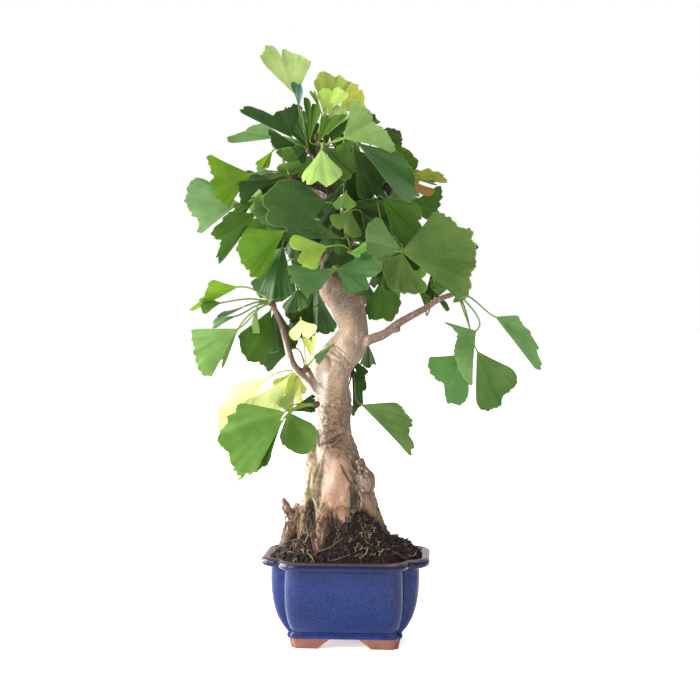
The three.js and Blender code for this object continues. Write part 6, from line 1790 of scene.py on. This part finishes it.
def spray_shape(name, spur, blades, settings):
    """A short shoot with its stalks and blades."""
    shape = Shape()
    way = unit(np.mean([blade.foot - spur for blade in blades], axis=0) + UP * 2)
    points, faces = spur_shape(spur, way, len(name))
    shape.add(points, faces, **woody_values(len(points), 1.0))
    dust = DUSTY.get(name, 0.0)
    for blade in blades:
        tint = leaf_tint(blade, settings)
        points, faces = tube(*stalk_line(blade, spur), STALK_SIDES)
        pale = 0.55 * tint + 0.45 * np.array(settings.stalk)
        shape.add(points, faces, **woody_values(len(points), 0.5, pale))
        points, faces, spots, under = blade_skin(blade, settings)
        count = len(points)
        spot = np.zeros(count)
        for across, along, size, strength in BLEMISHES.get((name, blade.index), ()):
            away = np.hypot((spots[:, 0] - across) * 1.2 * spots[:, 1], spots[:, 1] - along)
            spot = np.maximum(spot, strength * fade(away, size * 1.4, size * 0.5))
        shape.add(
            points,
            faces,
            leaf_tint=np.tile((*tint, 1.0), (count, 1)),
            leaf_place=spots,
            leaf_kind=np.column_stack((under, np.zeros(count), np.full(count, dust))),
            leaf_spot=spot,
        )
    return shape


# Colours that leaves turn in part
DRY_EDGE = (0.32, 0.36, 0.10)
UNDERSIDE = (0.15, 0.21, 0.10)
DUST = (0.27, 0.31, 0.25)
BROWN_SPOT = ((0.13, 0.045, 0.012), (0.26, 0.085, 0.012))


def leaf_material(settings):
    finish = Finish("ginkgo_leaf")
    across, along, number = finish.split(finish.value("leaf_place", "Vector"))
    under, wood, dust = finish.split(finish.value("leaf_kind", "Vector"))
    tint = finish.value("leaf_tint", "Color")
    spot = finish.value("leaf_spot")
    broad_place = finish.add("ShaderNodeCombineXYZ", inputs={0: across * 30, 1: along * 0.9, 2: number * 7})
    streaks = finish.noise(broad_place, 1.6, 3, 0.6)
    fine_place = finish.add("ShaderNodeCombineXYZ", inputs={0: across * 95, 1: along * 0.8, 2: number * 7})
    fine = finish.noise(fine_place, 1.0, 2, 0.5)
    cloud = finish.noise(finish.place, 38, 3, 0.55)
    light = finish.tinted(tint, 1.45, 1.28, 1.35)
    dark = finish.tinted(tint, 0.60, 0.70, 0.62)
    base = finish.mix(cloud.fade(0.3, 0.7), dark, light)
    base = finish.mix(0.45, base, tint)
    base = finish.mix(streaks.fade(0.35, 0.7) * 0.2, base, dark)
    base = finish.mix(fine.fade(0.45, 0.75) * 0.22, base, light)
    base = finish.mix((1 - along.fade(0.0, 0.30)) * 0.35, base, finish.tinted(tint, 1.9, 1.6, 1.4))
    dry_edge = along.fade(0.975, 1.0) * cloud.fade(0.35, 0.65)
    base = finish.mix(dry_edge * 0.6, base, finish.mix(0.5, light, DRY_EDGE))
    base = finish.mix(under * 0.45, base, finish.mix(0.5, light, UNDERSIDE))
    speck = finish.noise(finish.place, 950, 2, 0.5)
    base = finish.mix(speck.fade(0.66, 0.72) * dust * 0.6, base, DUST)
    base = finish.mix(spot, base, finish.mix(cloud.fade(0.4, 0.6), *BROWN_SPOT))
    scales = finish.noise(finish.place, 480, 3, 0.6)
    shoot = finish.mix(scales.fade(0.35, 0.65), settings.shoot, dimmed(settings.shoot, 0.4))
    stem = finish.mix(scales * 0.4, tint, finish.tinted(tint, 0.8, 0.62, 0.45))
    base = finish.mix(wood.fade(0.2, 0.45), base, stem)
    bark = wood.fade(0.7, 0.95)
    base = finish.mix(bark, base, shoot)
    height = fine * 0.7 + streaks * 0.9
    height = height * (1 - wood.fade(0.2, 0.45)) + scales * bark * 3
    relief = finish.bump(height, 0.0005, 0.6)
    rough = 0.46 + cloud * 0.16 + under * 0.12 + bark * 0.25
    return finish.done(base, rough, relief, ior=1.2)


def build_sprays(settings):
    finish = leaf_material(settings)
    for name, (spur, rows) in SPRAYS.items():
        blades = [placed_blade(row, index, MARGINS.get((name, index))) for index, row in enumerate(rows)]
        dress_spray(name, place(*spur), blades, finish, settings)
    draw = drawer(BACK_SEED)
    for name, (spur, leaves, outward) in BACK_SPRAYS.items():
        blades = back_blades(draw, spur, leaves, outward)
        dress_spray(name, place(*spur), blades, finish, settings)


def dress_spray(name, spur, blades, finish, settings):
    mesh = spray_shape(name, spur, blades, settings).mesh(f"leafy_{name}")
    mesh.set_sharp_from_angle(angle=SHARP_ANGLE)
    piece_of(f"leafy_{name}", mesh, finish, SLOTS.get(name, "green_leaf"), name)


# ---- The stage ----

SENSOR_WIDTH = 36
FLOOR_REACH = 9000
LIT_HEIGHT = 0.3  # metres above the ground that the lights are aimed at
LIGHT_TINT = (1.0, 0.99, 0.97)
PAPER = ((0.92, 0.92, 0.92), (0.95, 0.95, 0.95))  # its darkest and palest white
VIEW_REACH = 50  # metres

# Lights: name, setting that holds the power, place in metres, and size
LIGHTS = (
    ("key_light", "key", (-2.4, 0.5, 0.75), 2.8),
    ("front_light", "front", (-2.1, -1.7, 1.3), 1.6),
    ("top_light", "top", (0.1, 0.5, 2.6), 2.0),
)


def backdrop_material():
    finish = Finish("white_paper")
    grain = finish.noise(finish.place, 60, 2)
    base = finish.mix(grain, *PAPER)
    return finish.done(base, 0.9, emission_color=(1.0, 1.0, 1.0, 1.0), emission_strength=0.5)


def soft_light(name, place_at, aim, size, power):
    light = bpy.data.lights.new(name, "AREA")
    light.shape = "DISK"
    light.size = size
    light.energy = power
    light.color = LIGHT_TINT
    lamp = linked(name, light)
    lamp.location = place_at
    lamp.rotation_euler = (Vector(aim) - Vector(place_at)).to_track_quat("-Z", "Y").to_euler()


def world_light(strength):
    world = bpy.data.worlds.new("white_room")
    world.use_nodes = True
    background = world.node_tree.nodes["Background"]
    background.inputs["Color"].default_value = (1.0, 1.0, 1.0, 1.0)
    background.inputs["Strength"].default_value = strength
    bpy.context.scene.world = world


def look_from_the_front():
    camera = bpy.data.cameras.new("front_camera")
    camera.sensor_width = SENSOR_WIDTH
    camera.lens = SENSOR_WIDTH * FOCAL_LENGTH / IMAGE_SIZE
    camera.clip_end = VIEW_REACH
    eye = in_frame(turned((EYE_X, -EYE_DISTANCE, EYE_HEIGHT), TREE_TURN))
    aim = in_frame(turned((EYE_X, 0.0, EYE_AIM), TREE_TURN))
    holder = linked("front_camera", camera)
    holder.location = eye
    holder.rotation_euler = Vector(aim - eye).to_track_quat("-Z", "Y").to_euler()
    bpy.context.scene.camera = holder


def build_stage(settings):
    corners = [(x * FLOOR_REACH, y * FLOOR_REACH, 0.0) for x, y in ((-1, -1), (1, -1), (1, 1), (-1, 1))]
    floor = linked("floor", mesh_of("floor", corners, [[0, 1, 2, 3]], smooth=False))
    floor.data.materials.append(backdrop_material())
    middle = np.array(POT_AXIS) + (0, 0, LIT_HEIGHT)
    for name, setting, place_at, size in LIGHTS:
        soft_light(name, place_at, middle, size, getattr(settings, setting))
    world_light(settings.surround)
    look_from_the_front()
    bpy.context.scene.view_settings.view_transform = "Standard"


# ---- Settings, operators and panel ----


def tint_setting(name, text, shade):
    return bpy.props.FloatVectorProperty(
        name=name, description=text, default=colour(*shade), size=3, min=0, max=1, subtype="COLOR"
    )


def amount_setting(name, text, default, **limits):
    return bpy.props.FloatProperty(name=name, description=text, default=default, **limits)


class PotSettings(bpy.types.PropertyGroup):
    """The pot's glaze and clay."""

    glaze: tint_setting("Glaze", "Cobalt of most of the glaze", (1, 20, 66))
    deep_glaze: tint_setting("Deep glaze", "Glaze where it lies thick", (1, 10, 44))
    bright_glaze: tint_setting("Bright glaze", "Fine lighter mottling", (26, 52, 108))
    lip_glaze: tint_setting("Lip glaze", "Darker glaze of the lip", (10, 16, 38))
    pool: tint_setting("Pooled glaze", "Runs above the feet", (16, 34, 104))
    # Along the lip's crest this brown also stands for painted shade.
    thin_glaze: tint_setting("Thin glaze", "Brown where the glaze breaks over an edge", (58, 42, 40))
    clay: tint_setting("Clay", "Bare clay of the feet", (118, 76, 66))


class SoilSettings(bpy.types.PropertyGroup):
    """The soil and what lies on it."""

    soil: tint_setting("Soil", "Lighter crumbs", (33, 22, 23))
    dark_soil: tint_setting("Dark soil", "Peat", (9, 6, 8))
    warm_soil: tint_setting("Warm soil", "Bark in the mix", (64, 42, 34))
    crumb_density: amount_setting("Crumbs per square metre", "How thickly crumbs lie", 150000, min=0)
    smallest_crumb: amount_setting("Smallest crumb", "Radius", 0.0005, min=0.0001, unit="LENGTH")
    largest_crumb: amount_setting("Largest crumb", "Radius", 0.0025, min=0.0001, unit="LENGTH")
    rootlets: bpy.props.IntProperty(name="Rootlets", description="Loose bits strewn on the soil", default=1600, min=0)


class WoodSettings(bpy.types.PropertyGroup):
    """The bark."""

    upper_bark: tint_setting("Upper bark", "Smooth bark of the upper trunk", (130, 112, 95))
    rough_bark: tint_setting("Rough bark", "Bark over the roots", (118, 96, 76))
    twig_bark: tint_setting("Twig bark", "Twigs and branches", (86, 66, 55))
    soil_stain: tint_setting("Soil stain", "Roots where they meet the soil", (64, 46, 38))
    # Painted highlight: pale bark where the key light falls on the trunk's left side, not the bark's own colour.
    painted_light_bark: tint_setting("Pale bark", "Smooth bark on the lit side", (216, 204, 190))
    # Painted shade: reddish bark darkened where the crown shades it.
    leader_in_shade: tint_setting("Leader", "Reddish bark high in the crown", (52, 34, 28))
    # Painted shade at the bottom of cracks and grooves.
    crack: tint_setting("Crack", "Bottom of a crack", (36, 25, 20))
    grain: amount_setting("Grain", "How deep the fine grain looks", 0.7, min=0, max=1, subtype="FACTOR")


class LeafSettings(bpy.types.PropertyGroup):
    """The leaves."""

    thickness: amount_setting("Thickness", "Thickness of a blade", 0.0005, min=0.0001, unit="LENGTH")
    crenation: amount_setting("Crenation", "Height of a bump, as a share of the blade", 0.046, min=0, max=0.2)
    young: tint_setting("Young", "Newest leaves at the top", (130, 152, 86))
    lime: tint_setting("Lime", "Yellow-green leaves", (86, 116, 18))
    bright: tint_setting("Bright", "Fresh leaves", (68, 104, 20))
    mid: tint_setting("Mid", "Most leaves", (50, 80, 18))
    blue: tint_setting("Blue", "Bluish leaves", (62, 92, 44))
    olive: tint_setting("Olive", "Old leaves", (50, 70, 26))
    deep: tint_setting("Deep", "Dark leaves", (33, 57, 15))
    pale: tint_setting("Pale", "Leaves bleached to cream", (191, 200, 108))
    stalk: tint_setting("Stalk", "Leaf stalks", (106, 120, 50))
    shoot: tint_setting("Shoot", "Knobbly short shoots", (84, 64, 46))


class StageSettings(bpy.types.PropertyGroup):
    """The light."""

    key: amount_setting("Key light", "Strong light from the left, a little behind", 340, unit="POWER")
    front: amount_setting("Front light", "Soft light from the front left", 110, unit="POWER")
    top: amount_setting("Top light", "Soft light from above", 60, unit="POWER")
    surround: amount_setting("Surround", "Light from all round", 1.0, min=0)


class BONSAI_OT_trunk(bpy.types.Operator):
    """Builds the trunk, its roots, branches and twigs."""

    bl_idname = "bonsai.trunk"
    bl_label = "Trunk and branches"

    def execute(self, context):
        build_trunk(context.scene.bonsai_wood)
        return {"FINISHED"}


class BONSAI_OT_soil(bpy.types.Operator):
    """Builds the mounded soil with its crumbs, rootlets and sprouts."""

    bl_idname = "bonsai.soil"
    bl_label = "Soil"

    def execute(self, context):
        build_soil(context.scene.bonsai_soil)
        return {"FINISHED"}


class BONSAI_OT_pot(bpy.types.Operator):
    """Builds the glazed pot and finishes the netting over its drain holes."""

    bl_idname = "bonsai.pot"
    bl_label = "Pot"

    def execute(self, context):
        build_pot(context.scene.bonsai_pot)
        build_screens()
        return {"FINISHED"}


class BONSAI_OT_sprays(bpy.types.Operator):
    """Builds every spray of leaves on its short shoot."""

    bl_idname = "bonsai.sprays"
    bl_label = "Sprays of leaves"

    def execute(self, context):
        build_sprays(context.scene.bonsai_leaf)
        return {"FINISHED"}


class BONSAI_OT_stage(bpy.types.Operator):
    """Sets the floor, the lights and the camera."""

    bl_idname = "bonsai.stage"
    bl_label = "Stage"

    def execute(self, context):
        build_stage(context.scene.bonsai_stage)
        return {"FINISHED"}


OPERATORS = (BONSAI_OT_pot, BONSAI_OT_trunk, BONSAI_OT_soil, BONSAI_OT_sprays, BONSAI_OT_stage)
SETTINGS = {
    "bonsai_pot": PotSettings,
    "bonsai_wood": WoodSettings,
    "bonsai_soil": SoilSettings,
    "bonsai_leaf": LeafSettings,
    "bonsai_stage": StageSettings,
}


class BONSAI_PT_panel(bpy.types.Panel):
    """Lists the bonsai's settings and the operators that build it."""

    bl_idname = "BONSAI_PT_panel"
    bl_label = "Ginkgo Bonsai"
    bl_space_type = "VIEW_3D"
    bl_region_type = "UI"
    bl_category = "Bonsai"

    def draw(self, context):
        for name, operator in zip(SETTINGS, OPERATORS):
            box = self.layout.box()
            group = getattr(context.scene, name)
            for setting in group.bl_rna.properties:
                if setting.identifier not in ("name", "rna_type"):
                    box.prop(group, setting.identifier)
            box.operator(operator.bl_idname)


def register():
    for group in SETTINGS.values():
        bpy.utils.register_class(group)
    for name, group in SETTINGS.items():
        setattr(bpy.types.Scene, name, bpy.props.PointerProperty(type=group))
    for shown in (*OPERATORS, BONSAI_PT_panel):
        bpy.utils.register_class(shown)


def unregister():
    for shown in (BONSAI_PT_panel, *reversed(OPERATORS)):
        bpy.utils.unregister_class(shown)
    for name, group in SETTINGS.items():
        delattr(bpy.types.Scene, name)
        bpy.utils.unregister_class(group)


def main():
    register()
    for operator in OPERATORS:
        group, name = operator.bl_idname.split(".")
        getattr(getattr(bpy.ops, group), name)()


if __name__ == "__main__":
    main()
